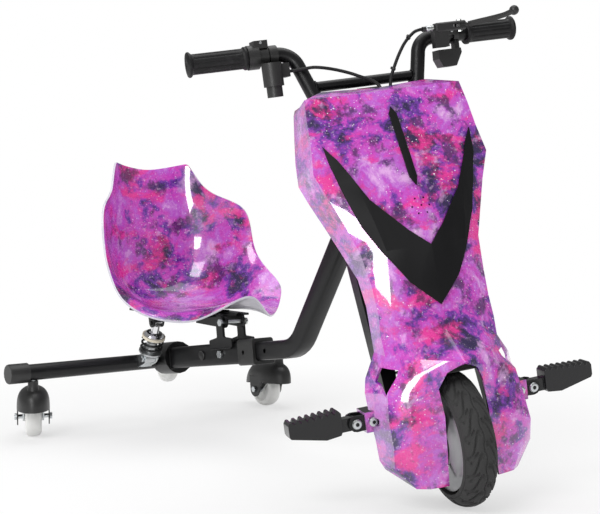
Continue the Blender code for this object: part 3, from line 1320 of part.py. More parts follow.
def footrest(side):
    word = "left" if side > 0 else "right"
    fold = Vector((side * FOLD_X, FOLD_Y, FOLD_Z))
    arm_inner = LEG_INNER + LEG_WIDTH + GAP
    arm_outer = FOLD_X - FOLD_EAR - GAP
    bracket = add("footrest_bracket_" + word,
                  box(arm_outer - arm_inner, 2 * ARM_HALF_Y, 2 * ARM_HALF_Z), STEER,
                  (side * (arm_inner + arm_outer) / 2, FOLD_Y, FOLD_Z), look=BLACK_PAINT)
    ear_outline = clevis_outline((FOLD_X, FOLD_Z), (arm_outer - 0.003, FOLD_Z), FOLD_EAR,
                                 ARM_HALF_Z)
    ear_outline = [(side * x, z) for x, z in ear_outline]
    reach = TONGUE_HALF + GAP
    for depth in (1, -1):
        ear = add("fold_ear", slab([ear_outline], FOLD_EAR_THICK, FRONT), STEER,
                  (0, FOLD_Y + depth * (reach + FOLD_EAR_THICK / 2), 0))
        carve(bracket, ear, "UNION")
    pin = add("fold_pin", rod(FOLD_BOLT, 2 * (reach + FOLD_EAR_THICK) + 0.002, "Y", 12), STEER, fold)
    carve(bracket, pin, "UNION")
    for depth in (1, -1):
        head = add("fold_head", rod(0.0068, 0.004, "Y", 12), STEER,
                   fold + Vector((0, depth * (reach + FOLD_EAR_THICK + 0.0015), 0)))
        carve(bracket, head, "UNION")
    half = ARM_HALF_Y + STUB_WALL + GAP
    bolt_at = Vector((side * STUB_BOLT_X, FOLD_Y, FOLD_Z))
    bolt = add("stub_bolt", rod(FOLD_BOLT, 2 * half + 0.003, "Y", 12), STEER, bolt_at)
    carve(bracket, bolt, "UNION")
    for depth in (1, -1):
        head = add("stub_head", rod(STUB_HEAD, 0.003, "Y", 12), STEER,
                   bolt_at + Vector((0, depth * (half + 0.0015), 0)))
        carve(bracket, head, "UNION")

    inner, outer = REST_INNER_X - FOLD_X, REST_INNER_X + REST_LENGTH - FOLD_X
    top_in, top_out = 0.0245, 0.0205
    outline = [(inner + 0.003, -0.0120), (inner + 0.025, -0.0145), (outer - 0.002, -0.003),
               (outer, 0.001)]
    pitch = REST_LENGTH / TEETH
    for i in range(TEETH):
        right = outer - i * pitch
        height = mix(top_out, top_in, (i + 0.5) / TEETH)
        outline += [(right, height - TOOTH), (right - pitch * 0.3, height),
                    (right - pitch * 0.6, height)]
    outline += [(inner, top_in - TOOTH), (inner, -0.006)]
    rest = add("footrest_" + word, slab([[(side * x, z) for x, z in outline]], REST_DEPTH, FRONT),
               STEER, fold, look=BLACK_PAINT)
    tongue = clevis_outline((0, 0), (inner + 0.006, 0), 0.0095, 0.0095)
    link = add("fold_tongue", slab([[(side * x, z) for x, z in tongue]], 2 * TONGUE_HALF, FRONT),
               STEER, fold)
    carve(rest, link, "UNION")
    hole = add("fold_hole", rod(FOLD_BOLT + GAP, 0.1, "Y", 12), STEER, fold)
    carve(rest, hole)


def settle():
    """Turn the steering, then stand the kart on the world's origin."""
    STEER.empty.rotation_mode = "QUATERNION"
    STEER.empty.rotation_quaternion = Quaternion(STEER_AXIS, -STEERED)
    view = bpy.context.view_layer
    view.update()
    found = bpy.context.evaluated_depsgraph_get()
    corners = []
    for thing in PARTS.objects:
        if thing.type == "MESH":
            shape = thing.evaluated_get(found)
            corners += [shape.matrix_world @ vert.co for vert in shape.data.vertices]
    low = Vector([min(corner[i] for corner in corners) for i in range(3)])
    high = Vector([max(corner[i] for corner in corners) for i in range(3)])
    middle = (low + high) / 2
    KART.empty.location = (-middle.x, -middle.y, -low.z)
    view.update()
    size = high - low
    print("Size, mm:", [round(1000 * value, 1) for value in size])
    print("Root, mm:", [round(1000 * value, 3) for value in KART.empty.location])


rear_frame()
seat_bracket()
shock_clevis()
roller()
for way in (1, -1):
    caster(way)
    footrest(way)
seat()
shock()
front_frame()
fork()
mudguard()
front_wheel()
cowl()
handlebar()
throttle_side()
brake_side()
cables(inside_cowl())
settle()
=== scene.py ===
"""Finishes, trim, stage and camera for an electric drift kart.

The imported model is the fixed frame. Rigid nodes get a welded copy with softened edges, and round or
moulded pieces are made again in finer form, in the same places. Kart coordinates have their origin
on the ground under the front wheel, with x to the driver's left, y backwards and z up; FRONT takes
points given with the steering straight, and REAR those of the rear frame, into the frame's own.
"""

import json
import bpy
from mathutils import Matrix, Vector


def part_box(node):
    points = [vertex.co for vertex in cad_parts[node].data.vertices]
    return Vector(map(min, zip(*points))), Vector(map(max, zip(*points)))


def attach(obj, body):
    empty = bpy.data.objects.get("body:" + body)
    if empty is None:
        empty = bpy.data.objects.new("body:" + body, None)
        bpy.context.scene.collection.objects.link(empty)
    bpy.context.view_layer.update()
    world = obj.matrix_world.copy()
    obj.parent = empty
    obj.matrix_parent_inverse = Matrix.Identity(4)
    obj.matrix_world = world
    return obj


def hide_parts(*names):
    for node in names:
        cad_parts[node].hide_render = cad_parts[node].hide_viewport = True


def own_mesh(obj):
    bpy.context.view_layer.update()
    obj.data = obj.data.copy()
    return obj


bl_info = {
    "name": "Electric drift kart",
    "version": (1, 0, 0),
    "blender": (4, 5, 0),
    "location": "3D View > Sidebar > Kart",
    "description": "Finishes, trim, stage and camera for an electric drift kart",
    "category": "Object",
}

from math import atan2, cos, hypot, pi, radians, sin, sqrt, tan

import bmesh
import bpy
from bpy.props import FloatProperty, FloatVectorProperty, IntProperty, PointerProperty
from mathutils import Matrix, Quaternion, Vector

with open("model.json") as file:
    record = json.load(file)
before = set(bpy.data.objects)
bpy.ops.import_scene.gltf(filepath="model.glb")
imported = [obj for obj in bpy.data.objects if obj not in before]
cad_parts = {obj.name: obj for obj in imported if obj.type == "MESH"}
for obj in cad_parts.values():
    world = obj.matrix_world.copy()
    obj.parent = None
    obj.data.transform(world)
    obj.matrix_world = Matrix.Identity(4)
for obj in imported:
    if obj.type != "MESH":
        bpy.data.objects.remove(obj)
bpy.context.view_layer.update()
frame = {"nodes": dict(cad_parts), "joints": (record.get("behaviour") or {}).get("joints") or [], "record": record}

JOINTS = {joint["name"]: joint for joint in frame["joints"]}
BODY_OF = {
    node: body
    for body, members in frame["record"]["behaviour"]["bodies"].items()
    for node in members
}
SLOT_OF = {part["node"]: part["material_slot"] for part in frame["record"]["subparts"]}

SIDES = (("left", 1), ("right", -1))
GAP = 0.0003
RAKE = radians(22.1)
STEERED = radians(22.78)
TUBE_SLOPE = radians(8.2)
CROSS_Y, TUBE_REAR_Z = 0.797, 0.129
REAR = Matrix.Translation((0, JOINTS["caster_swivel_left"]["pos_m"][1] - CROSS_Y, 0))
STEER_AXIS = Vector((0, sin(RAKE), cos(RAKE)))
HEAD = Vector(JOINTS["steering_turn"]["pos_m"])
HEAD_STRAIGHT = REAR.inverted() @ HEAD
STEER_TURN = Quaternion(STEER_AXIS, -STEERED).to_matrix().to_4x4()
FACING = STEER_TURN.to_3x3()
FRONT = Matrix.Translation(HEAD) @ STEER_TURN @ Matrix.Translation(-HEAD_STRAIGHT)
WHEEL = FRONT.inverted() @ Vector(JOINTS["front_wheel_spin"]["pos_m"])
ACROSS = Matrix.Rotation(pi / 2, 4, "Y")

BAR_RADIUS, BAR_HALF, BAR_Y, BAR_Z = 0.0111, 0.2645, 0.2105, 0.6775
KNEE, FOOT = (0.1055, 0.2105, 0.6775), (0.0790, 0.1825, 0.590)
KNEE_BEND, FOOT_BEND = 0.030, 0.022
BRACE, BRACE_RADIUS = (0.08851, 0.19255, 0.6214), 0.008
CASTER_X, CASTER_TRAIL, CASTER_RADIUS = 0.2795, 0.046, 0.0375
FOLD, STUB_X = (0.139, 0.031, 0.1425), 0.1155


def tube_z(y):
    """Height of the lower frame tube's centre line."""
    return TUBE_REAR_Z + (CROSS_Y - y) * tan(TUBE_SLOPE)


# Node graphs

class Field:
    """A number socket, so that sums on it read as plain arithmetic."""

    def __init__(self, graph, socket):
        self.graph = graph
        self.socket = socket

    def do(self, operation, *others, first=None):
        terms = (self, *others) if first is None else (first, self)
        node = self.graph.add("ShaderNodeMath", {"operation": operation}, dict(enumerate(terms)))
        return Field(self.graph, node.outputs[0])

    def __add__(self, other):
        return self.do("ADD", other)

    __radd__ = __add__

    def __sub__(self, other):
        return self.do("SUBTRACT", other)

    def __rsub__(self, other):
        return self.do("SUBTRACT", first=other)

    def __mul__(self, other):
        return self.do("MULTIPLY", other)

    __rmul__ = __mul__

    def __pow__(self, other):
        return self.do("POWER", other)

    def ramp(self, low, high):
        """0 below low and 1 above high, with a soft step between; low may be the larger."""
        node = self.graph.add("ShaderNodeMapRange", {"interpolation_type": "SMOOTHSTEP"},
                              {"Value": self, "From Min": low, "From Max": high})
        return Field(self.graph, node.outputs[0])


class Graph:
    """The nodes of a material or a geometry tree."""

    def __init__(self, tree):
        self.tree = tree

    def add(self, kind, settings=None, inputs=None):
        """A node: its settings first, then values or links for its sockets."""
        node = self.tree.nodes.new(kind)
        for key, value in (settings or {}).items():
            if key == "stops":
                ramp = node.color_ramp
                while len(ramp.elements) < len(value):
                    ramp.elements.new(1)
                for element, (place, colour) in zip(ramp.elements, value):
                    element.position = place
                    element.color = (*colour, 1)
            else:
                setattr(node, key, value)
        for key, value in (inputs or {}).items():
            socket = node.inputs[key]
            value = value.socket if isinstance(value, Field) else value
            if isinstance(value, bpy.types.NodeSocket):
                self.tree.links.new(value, socket)
            else:
                socket.default_value = value
        return node

    def field(self, socket):
        return Field(self, socket)

    def place(self):
        return self.add("ShaderNodeTexCoord").outputs["Object"]

    def noise(self, scale, detail=2.0, roughness=0.5, vector=None, squeeze=None):
        vector = vector or self.place()
        if squeeze:
            vector = self.add("ShaderNodeMapping", None,
                              {"Vector": vector, "Scale": squeeze}).outputs[0]
        node = self.add("ShaderNodeTexNoise", None, {
            "Vector": vector, "Scale": scale, "Detail": detail, "Roughness": roughness})
        return self.field(node.outputs[0])

    def mix(self, low, high, factor):
        """A colour between two others."""
        ends = [(*end, 1) if isinstance(end, (tuple, list)) else end for end in (low, high)]
        node = self.add("ShaderNodeMix", {"data_type": "RGBA"},
                        {0: factor, 6: ends[0], 7: ends[1]})
        return node.outputs[2]

    def bump(self, height, depth, strength):
        node = self.add("ShaderNodeBump", None,
                        {"Height": height, "Distance": depth, "Strength": strength})
        return node.outputs["Normal"]


class Finish(Graph):
    """A material, with its Principled shader's plain values set; more sockets by their names."""

    def __init__(self, name, colour, roughness, metallic=0.0, shine=0.5, **sockets):
        self.material = bpy.data.materials.new(name)
        self.material.use_nodes = True
        self.material.diffuse_color = (*colour, 1)
        super().__init__(self.material.node_tree)
        self.shader = self.tree.nodes["Principled BSDF"]
        self.shader.inputs["Specular IOR Level"].default_value = shine
        plain = {"base_color": (*colour, 1), "roughness": roughness, "metallic": metallic}
        for key, value in (plain | sockets).items():
            self.socket(key).default_value = value

    def socket(self, key):
        return self.shader.inputs[key.replace("_", " ").title()]

    def drive(self, **links):
        """Link fields or sockets into the shader."""
        for key, value in links.items():
            value = value.socket if isinstance(value, Field) else value
            self.tree.links.new(value, self.socket(key))

    def worn(self, low, high, mask, rough, relief=None):
        """A colour between two by a mask, a roughness, and relief as height, depth, strength."""
        self.drive(base_color=self.mix(low, high, mask), roughness=rough)
        if relief:
            self.drive(normal=self.bump(*relief))


# Mesh building

def put(name, data):
    """A new object in the scene."""
    thing = bpy.data.objects.new(name, data)
    bpy.context.scene.collection.objects.link(thing)
    return thing


def mesh_from(bm, name):
    mesh = bpy.data.meshes.new(name)
    bm.to_mesh(mesh)
    bm.free()
    return mesh


def placed(bm, matrix):
    bm.transform(matrix)
    return bm


def show(name, bm, look=None, crease=35, place=None):
    """An object for a mesh, which is first taken to its place in the frame."""
    if place is not None:
        bm.transform(place)
    thing = put(name, mesh_from(bm, name))
    if look:
        thing.data.materials.append(bpy.data.materials[look])
    thing.data.shade_smooth()
    thing.data.set_sharp_from_angle(angle=radians(crease))
    return thing


def settle(thing, body, *nodes, slot=None):
    """Ride on a body and stand for CAD nodes, which are hidden; a slot is looked up but not given to the object.
    """
    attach(thing, body)
    if nodes:
        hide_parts(*nodes)
        slot = slot or SLOT_OF[nodes[0]]


def modify(thing, kind, **values):
    """A modifier with its settings."""
    step = thing.modifiers.new(kind, kind)
    for key, value in values.items():
        setattr(step, key, value)
    return step


def baked(thing):
    """A plain mesh in place of an object's modifiers."""
    found = thing.evaluated_get(bpy.context.evaluated_depsgraph_get())
    mesh = bpy.data.meshes.new_from_object(found)
    thing.modifiers.clear()
    old = thing.data
    thing.data = mesh
    if not old.users:
        bpy.data.meshes.remove(old)
    return thing


def soften(thing, width, segments=2, weighted=False):
    """Bevel the edges, chosen by their angle or by their weights."""
    modify(thing, "BEVEL", width=width, segments=segments, angle_limit=radians(30),
           limit_method="WEIGHT" if weighted else "ANGLE", harden_normals=True)
    baked(thing)


def turns(count, shift=0.0):
    """Even angles round a full turn."""
    return [2 * pi * (i + shift) / count for i in range(count)]


def skin(bm, rows, closed=True):
    """Faces between neighbouring rows of points; a row of one point is a pole."""
    for low, high in zip(rows, rows[1:]):
        for i in range(max(len(low), len(high)) - (0 if closed else 1)):
            j = i + 1
            corners = [low[i % len(low)], low[j % len(low)], high[j % len(high)],
                       high[i % len(high)]]
            corners = list(dict.fromkeys(corners))
            if len(corners) > 2:
                bm.faces.new(corners)


def lathe(profile, steps=64, closed=False, flutes=None):
    """Turn (radius, height) points about Z. Flutes are (count, depth, low, high)."""
    bm = bmesh.new()
    rings = []
    for radius, height in profile:
        if radius == 0:
            rings.append([bm.verts.new((0, 0, height))])
            continue
        ring = []
        for angle in turns(steps):
            reach = radius
            if flutes and flutes[2] <= height <= flutes[3]:
                reach -= flutes[1] * max(0, cos(flutes[0] * angle)) ** 2
            ring.append(bm.verts.new((reach * cos(angle), reach * sin(angle), height)))
        rings.append(ring)
    skin(bm, rings + rings[:1] if closed else rings)
    bmesh.ops.recalc_face_normals(bm, faces=bm.faces)
    return bm


def pipe(points, radius, sides=16):
    """A capped tube along a line of points, with no twist."""
    points = [Vector(point) for point in points]
    bm = bmesh.new()
    rings = []
    side = None
    for i, point in enumerate(points):
        ahead = points[min(i + 1, len(points) - 1)] - points[max(i - 1, 0)]
        ahead.normalize()
        if side is None:
            side = ahead.orthogonal()
        side = (side - ahead * side.dot(ahead)).normalized()
        other = ahead.cross(side)
        outs = [side * cos(angle) + other * sin(angle) for angle in turns(sides)]
        rings.append([bm.verts.new(point + out * radius) for out in outs])
    skin(bm, rings)
    bm.faces.new(list(reversed(rings[0])))
    bm.faces.new(rings[-1])
    return bm


def block(x, y, z, at=(0, 0, 0)):
    bm = bmesh.new()
    bmesh.ops.create_cube(bm, size=1)
    bmesh.ops.scale(bm, vec=(x, y, z), verts=bm.verts)
    bmesh.ops.translate(bm, vec=at, verts=bm.verts)
    return bm


def join(*parts):
    """One bmesh from several."""
    whole = bmesh.new()
    for part in parts:
        mesh = mesh_from(part, "joined")
        whole.from_mesh(mesh)
        bpy.data.meshes.remove(mesh)
    return whole


def along(direction):
    """The turn that takes Z to a direction."""
    return Vector((0, 0, 1)).rotation_difference(Vector(direction)).to_matrix().to_4x4()


def smooth_line(points, per_span=8):
    """A smooth line through the points of a route."""
    points = [Vector(point) for point in points]
    ends = [points[0] * 2 - points[1]] + points + [points[-1] * 2 - points[-2]]
    line = []
    for i in range(1, len(points)):
        a, b, c, d = ends[i - 1:i + 3]
        for step in range(per_span):
            t = step / per_span
            pull = (c - a) * t + (a * 2 - b * 5 + c * 4 - d) * t ** 2
            line.append(b + (pull + (b * 3 - a - c * 3 + d) * t ** 3) / 2)
    return line + [points[-1]]


def rounded_line(corners, radii, steps=12):
    """An open line whose corners are arcs."""
    corners = [Vector(corner) for corner in corners]
    line = []
    for i, corner in enumerate(corners):
        if radii[i] == 0:
            line.append(corner)
            continue
        into = (corners[i - 1] - corner).normalized()
        out = (corners[i + 1] - corner).normalized()
        half = into.angle(out) / 2
        middle = corner + (into + out).normalized() * radii[i] / sin(half)
        first = corner + into * radii[i] / tan(half) - middle
        last = corner + out * radii[i] / tan(half) - middle
        sweep = first.angle(last)
        for step in range(steps + 1):
            share = step / steps
            arc = first * sin((1 - share) * sweep) + last * sin(share * sweep)
            line.append(middle + arc / sin(sweep))
    return line


def welded_copy(node):
    """A CAD node's loose triangles, welded, with flat faces whole."""
    bm = bmesh.new()
    bm.from_mesh(frame["nodes"][node].data)
    bmesh.ops.remove_doubles(bm, verts=bm.verts, dist=0.00001)
    bmesh.ops.dissolve_degenerate(bm, dist=0.000005, edges=bm.edges)
    bmesh.ops.dissolve_limit(bm, angle_limit=radians(0.5), verts=bm.verts, edges=bm.edges)
    return bm


def finished_copies(look, crease=35, **widths):
    """Welded copies of CAD nodes in one look, each with its edges softened by its own width."""
    for node, width in widths.items():
        thing = show(node + "_finished", welded_copy(node), look, crease)
        if width:
            soften(thing, width)
        settle(thing, BODY_OF[node], node)


# Geometry trees

def geometry_tree(name, sockets):
    """A tree with named inputs, and its graph and group input."""
    tree = bpy.data.node_groups.new(name, "GeometryNodeTree")
    tree.interface.new_socket("Geometry", in_out="OUTPUT", socket_type="NodeSocketGeometry")
    for label, kind, default in sockets:
        socket = tree.interface.new_socket(label, in_out="INPUT", socket_type=kind)
        if default is not None:
            socket.default_value = default
    graph = Graph(tree)
    return graph, graph.add("NodeGroupInput").outputs


def end_tree(graph, geometry, material):
    """Every tree ends with real geometry in its material."""
    real = graph.add("GeometryNodeRealizeInstances", None, {0: geometry})
    soft = graph.add("GeometryNodeSetShadeSmooth", None, {0: real.outputs[0]})
    set_material = graph.add("GeometryNodeSetMaterial", None,
                             {0: soft.outputs[0], "Material": material})
    graph.add("NodeGroupOutput", None, {0: set_material.outputs[0]})
    return graph.tree


def fastener_tree():
    """A head on each point of a mesh."""
    graph, given = geometry_tree("Fasteners", [
        ("Points", "NodeSocketGeometry", None), ("Head", "NodeSocketObject", None),
        ("Turn", "NodeSocketVector", (0, 0, 0)), ("Finish", "NodeSocketMaterial", None)])
    head = graph.add("GeometryNodeObjectInfo", None, {"Object": given["Head"]})
    turn = graph.add("FunctionNodeEulerToRotation", None, {0: given["Turn"]})
    heads = graph.add("GeometryNodeInstanceOnPoints", None, {
        "Points": given["Points"], "Instance": head.outputs["Geometry"],
        "Rotation": turn.outputs[0]})
    return end_tree(graph, heads.outputs[0], given["Finish"])


def bead_tree():
    """A weld bead: flattened drops in a row along a line."""
    graph, given = geometry_tree("Weld bead", [
        ("Line", "NodeSocketGeometry", None), ("Radius", "NodeSocketFloat", 0.0018),
        ("Pitch", "NodeSocketFloat", 0.0016), ("Finish", "NodeSocketMaterial", None)])
    curve = graph.add("GeometryNodeMeshToCurve", None, {0: given["Line"]})
    spaced = graph.add("GeometryNodeResampleCurve", {"mode": "LENGTH"},
                       {"Curve": curve.outputs[0], "Length": given["Pitch"]})
    drop = graph.add("GeometryNodeMeshIcoSphere", None,
                     {"Radius": given["Radius"], "Subdivisions": 2})
    tangent = graph.add("GeometryNodeInputTangent")
    turn = graph.add("FunctionNodeAlignRotationToVector", {"axis": "Z"},
                     {"Vector": tangent.outputs[0]})
    drops = graph.add("GeometryNodeInstanceOnPoints", None, {
        "Points": spaced.outputs[0], "Instance": drop.outputs[0], "Rotation": turn.outputs[0],
        "Scale": (1, 1, 0.62)})
    return end_tree(graph, drops.outputs[0], given["Finish"])


def tread_tree():
    """A grid bent into a tyre's outer skin, with curved grooves sunk in it."""
    graph, given = geometry_tree("Tyre skin", [
        ("Radius", "NodeSocketFloat", 0.0996), ("Section", "NodeSocketFloat", 0.0258),
        ("Spread", "NodeSocketFloat", 82.0), ("Grooves", "NodeSocketInt", 22),
        ("Depth", "NodeSocketFloat", 0.0016), ("Around", "NodeSocketInt", 560),
        ("Across", "NodeSocketInt", 57), ("Finish", "NodeSocketMaterial", None)])
    grid = graph.add("GeometryNodeMeshGrid", None, {
        "Size X": 1, "Size Y": 2, "Vertices X": given["Around"], "Vertices Y": given["Across"]})
    where = graph.add("GeometryNodeInputPosition")
    parts = graph.add("ShaderNodeSeparateXYZ", None, {0: where.outputs[0]})
    lap = graph.field(parts.outputs[0]) + 0.5
    side = graph.field(parts.outputs[1])
    out = side.do("ABSOLUTE")
    repeat = lap * given["Grooves"]
    lean = side.do("SIGN") * 0.25

    def groove(phase, half, start, end):
        """A soft-edged line where the phase passes a whole number, between two widths."""
        near = ((phase + 0.5).do("FRACT") - 0.5).do("ABSOLUTE")
        line = near.ramp(half * 1.6, half * 0.7)
        return line * out.ramp(start, start + 0.04) * out.ramp(end, end - 0.05)

    long_curve = repeat + lean - 1.9 * (out ** 1.7) + 0.25 * (out * 9).do("SINE")
    deep = groove(long_curve, 0.105, 0.05, 0.80)
    short_curve = repeat + lean + 0.5 - 1.5 * (out ** 1.5)
    deep = deep.do("MAXIMUM", groove(short_curve, 0.080, 0.24, 0.66))
    middle = repeat * 2 * pi
    wander = (side * 26 - middle.do("SINE")).do("ABSOLUTE")
    deep = deep.do("MAXIMUM", wander.ramp(0.85, 0.35) * 0.7)
    edge = ((out - 0.86).do("ABSOLUTE")).ramp(0.020, 0.006) * 0.45
    deep = deep.do("MAXIMUM", edge)

    section = graph.field(given["Section"])
    angle = side * given["Spread"] * (pi / 180)
    reach = section - deep * given["Depth"]
    radius = graph.field(given["Radius"]) - section + reach * angle.do("COSINE")
    turn = lap * 2 * pi
    spot = graph.add("ShaderNodeCombineXYZ", None, {
        0: reach * angle.do("SINE"), 1: radius * turn.do("COSINE"), 2: radius * turn.do("SINE")})
    bent = graph.add("GeometryNodeSetPosition", None,
                     {"Geometry": grid.outputs[0], "Position": spot.outputs[0]})
    closed = graph.add("GeometryNodeMergeByDistance", None,
                       {0: bent.outputs[0], "Distance": 0.00001})
    return end_tree(graph, closed.outputs[0], given["Finish"])


def grown(name, source, tree_name, inputs):
    """The plain mesh that a geometry tree grows from a mesh or line."""
    thing = put(name, source)
    step = modify(thing, "NODES", node_group=bpy.data.node_groups[tree_name])
    ids = {item.name: item.identifier for item in step.node_group.interface.items_tree
           if item.in_out == "INPUT"}
    for label, value in inputs.items():
        step[ids[label]] = value
    return baked(thing)


def line_mesh(points, closed=True):
    mesh = bpy.data.meshes.new("line")
    count = len(points)
    edges = [(i, (i + 1) % count) for i in range(count if closed else count - 1)]
    mesh.from_pydata([tuple(point) for point in points], edges, [])
    return mesh


def square_ring(half, steps=8):
    """Points round a square, from one corner on."""
    corners = [(-half, -half), (half, -half), (half, half), (-half, half)]
    ring = []
    for (x, y), (next_x, next_y) in zip(corners, corners[1:] + corners[:1]):
        for i in range(steps):
            share = i / steps
            ring.append((x + (next_x - x) * share, y + (next_y - y) * share))
    return ring


def bead(name, points, body, radius, closed=True, matrix=REAR):
    """A painted weld bead along a line of kart points."""
    line = line_mesh([matrix @ Vector(point) for point in points], closed)
    made = grown(name, line, "Weld bead", {
        "Radius": radius, "Pitch": radius * 0.95, "Finish": bpy.data.materials["black_coat"]})
    settle(made, body, slot="black_paint")


def pan_head(radius, height, sides, socket=0.45):
    """A pan head with a recess in its middle, standing on z = 0."""
    recess = radius * socket
    return lathe([(0, height * 0.4), (recess, height * 0.4), (recess, height * 0.95),
                  (radius * 0.62, height), (radius * 0.86, height * 0.9), (radius, height * 0.6),
                  (radius, 0), (0, 0)], sides)


def hex_head(radius, height):
    """A six-sided head on a washer."""
    rim, top = radius * 1.3, height * 0.22
    washer = lathe([(0, 0), (rim, 0), (rim, top), (0, top)], 32)
    head = lathe([(0, height * 0.2), (radius, height * 0.2), (radius, height * 0.9),
                  (radius * 0.9, height), (0, height)], 6)
    return join(washer, head)


def fasteners(name, points, direction, head, body, look="zinc_plate", slot="zinc"):
    """Like heads on points of the frame, all facing one way."""
    sample = put("sample_head", mesh_from(head, "sample_head"))
    made = grown(name, line_mesh(points, False), "Fasteners", {
        "Head": sample, "Turn": tuple(along(direction).to_euler()),
        "Finish": bpy.data.materials[look]})
    bpy.data.objects.remove(sample)
    made.data.set_sharp_from_angle(angle=radians(35))
    settle(made, body, slot=slot)


# Settings a user would change

class KART_PG_print(bpy.types.PropertyGroup):
    cloud_scale: FloatProperty(
        name="Cloud scale", description="Clouds of the print to a metre", default=19.0, min=1)
    star_scale: FloatProperty(
        name="Star scale", description="Cells of stars to a metre", default=105.0, min=10)
    deep: FloatVectorProperty(
        name="Deep", description="Darkest patches of the print", subtype="COLOR",
        default=(0.022, 0.008, 0.070))
    purple: FloatVectorProperty(
        name="Purple", description="Main purple of the print", subtype="COLOR",
        default=(0.165, 0.028, 0.370))
    magenta: FloatVectorProperty(
        name="Magenta", description="Bright clouds of the print", subtype="COLOR",
        default=(0.590, 0.050, 0.490))
    violet: FloatVectorProperty(
        name="Violet", description="Clouds between magenta and the haze", subtype="COLOR",
        default=(0.500, 0.100, 0.600))
    pink: FloatVectorProperty(
        name="Hot pink", description="Streaks between the clouds", subtype="COLOR",
        default=(0.820, 0.024, 0.290))
    pale: FloatVectorProperty(
        name="Pale", description="Lightest haze of the print", subtype="COLOR",
        default=(0.760, 0.400, 0.780))


class KART_PG_tyre(bpy.types.PropertyGroup):
    grooves: IntProperty(
        name="Grooves", description="Grooves round the tyre, each side", default=20, min=4)
    depth: FloatProperty(
        name="Groove depth", description="Depth of the grooves", default=0.0026,
        subtype="DISTANCE", precision=4)


class KART_PG_grips(bpy.types.PropertyGroup):
    flutes: IntProperty(
        name="Flutes", description="Flutes round a grip", default=12, min=3)
    depth: FloatProperty(
        name="Flute depth", description="Depth of a grip's flutes", default=0.0011,
        subtype="DISTANCE", precision=4)


class KART_PG_stage(bpy.types.PropertyGroup):
    floor: FloatVectorProperty(
        name="Floor", description="Colour of the floor", subtype="COLOR",
        default=(0.86, 0.86, 0.86))
    key: FloatProperty(
        name="Key light", description="Power of the main light", default=40.0, subtype="POWER")
    fill: FloatProperty(
        name="Fill light", description="Power of the side lights", default=17.0, subtype="POWER")


# Operators

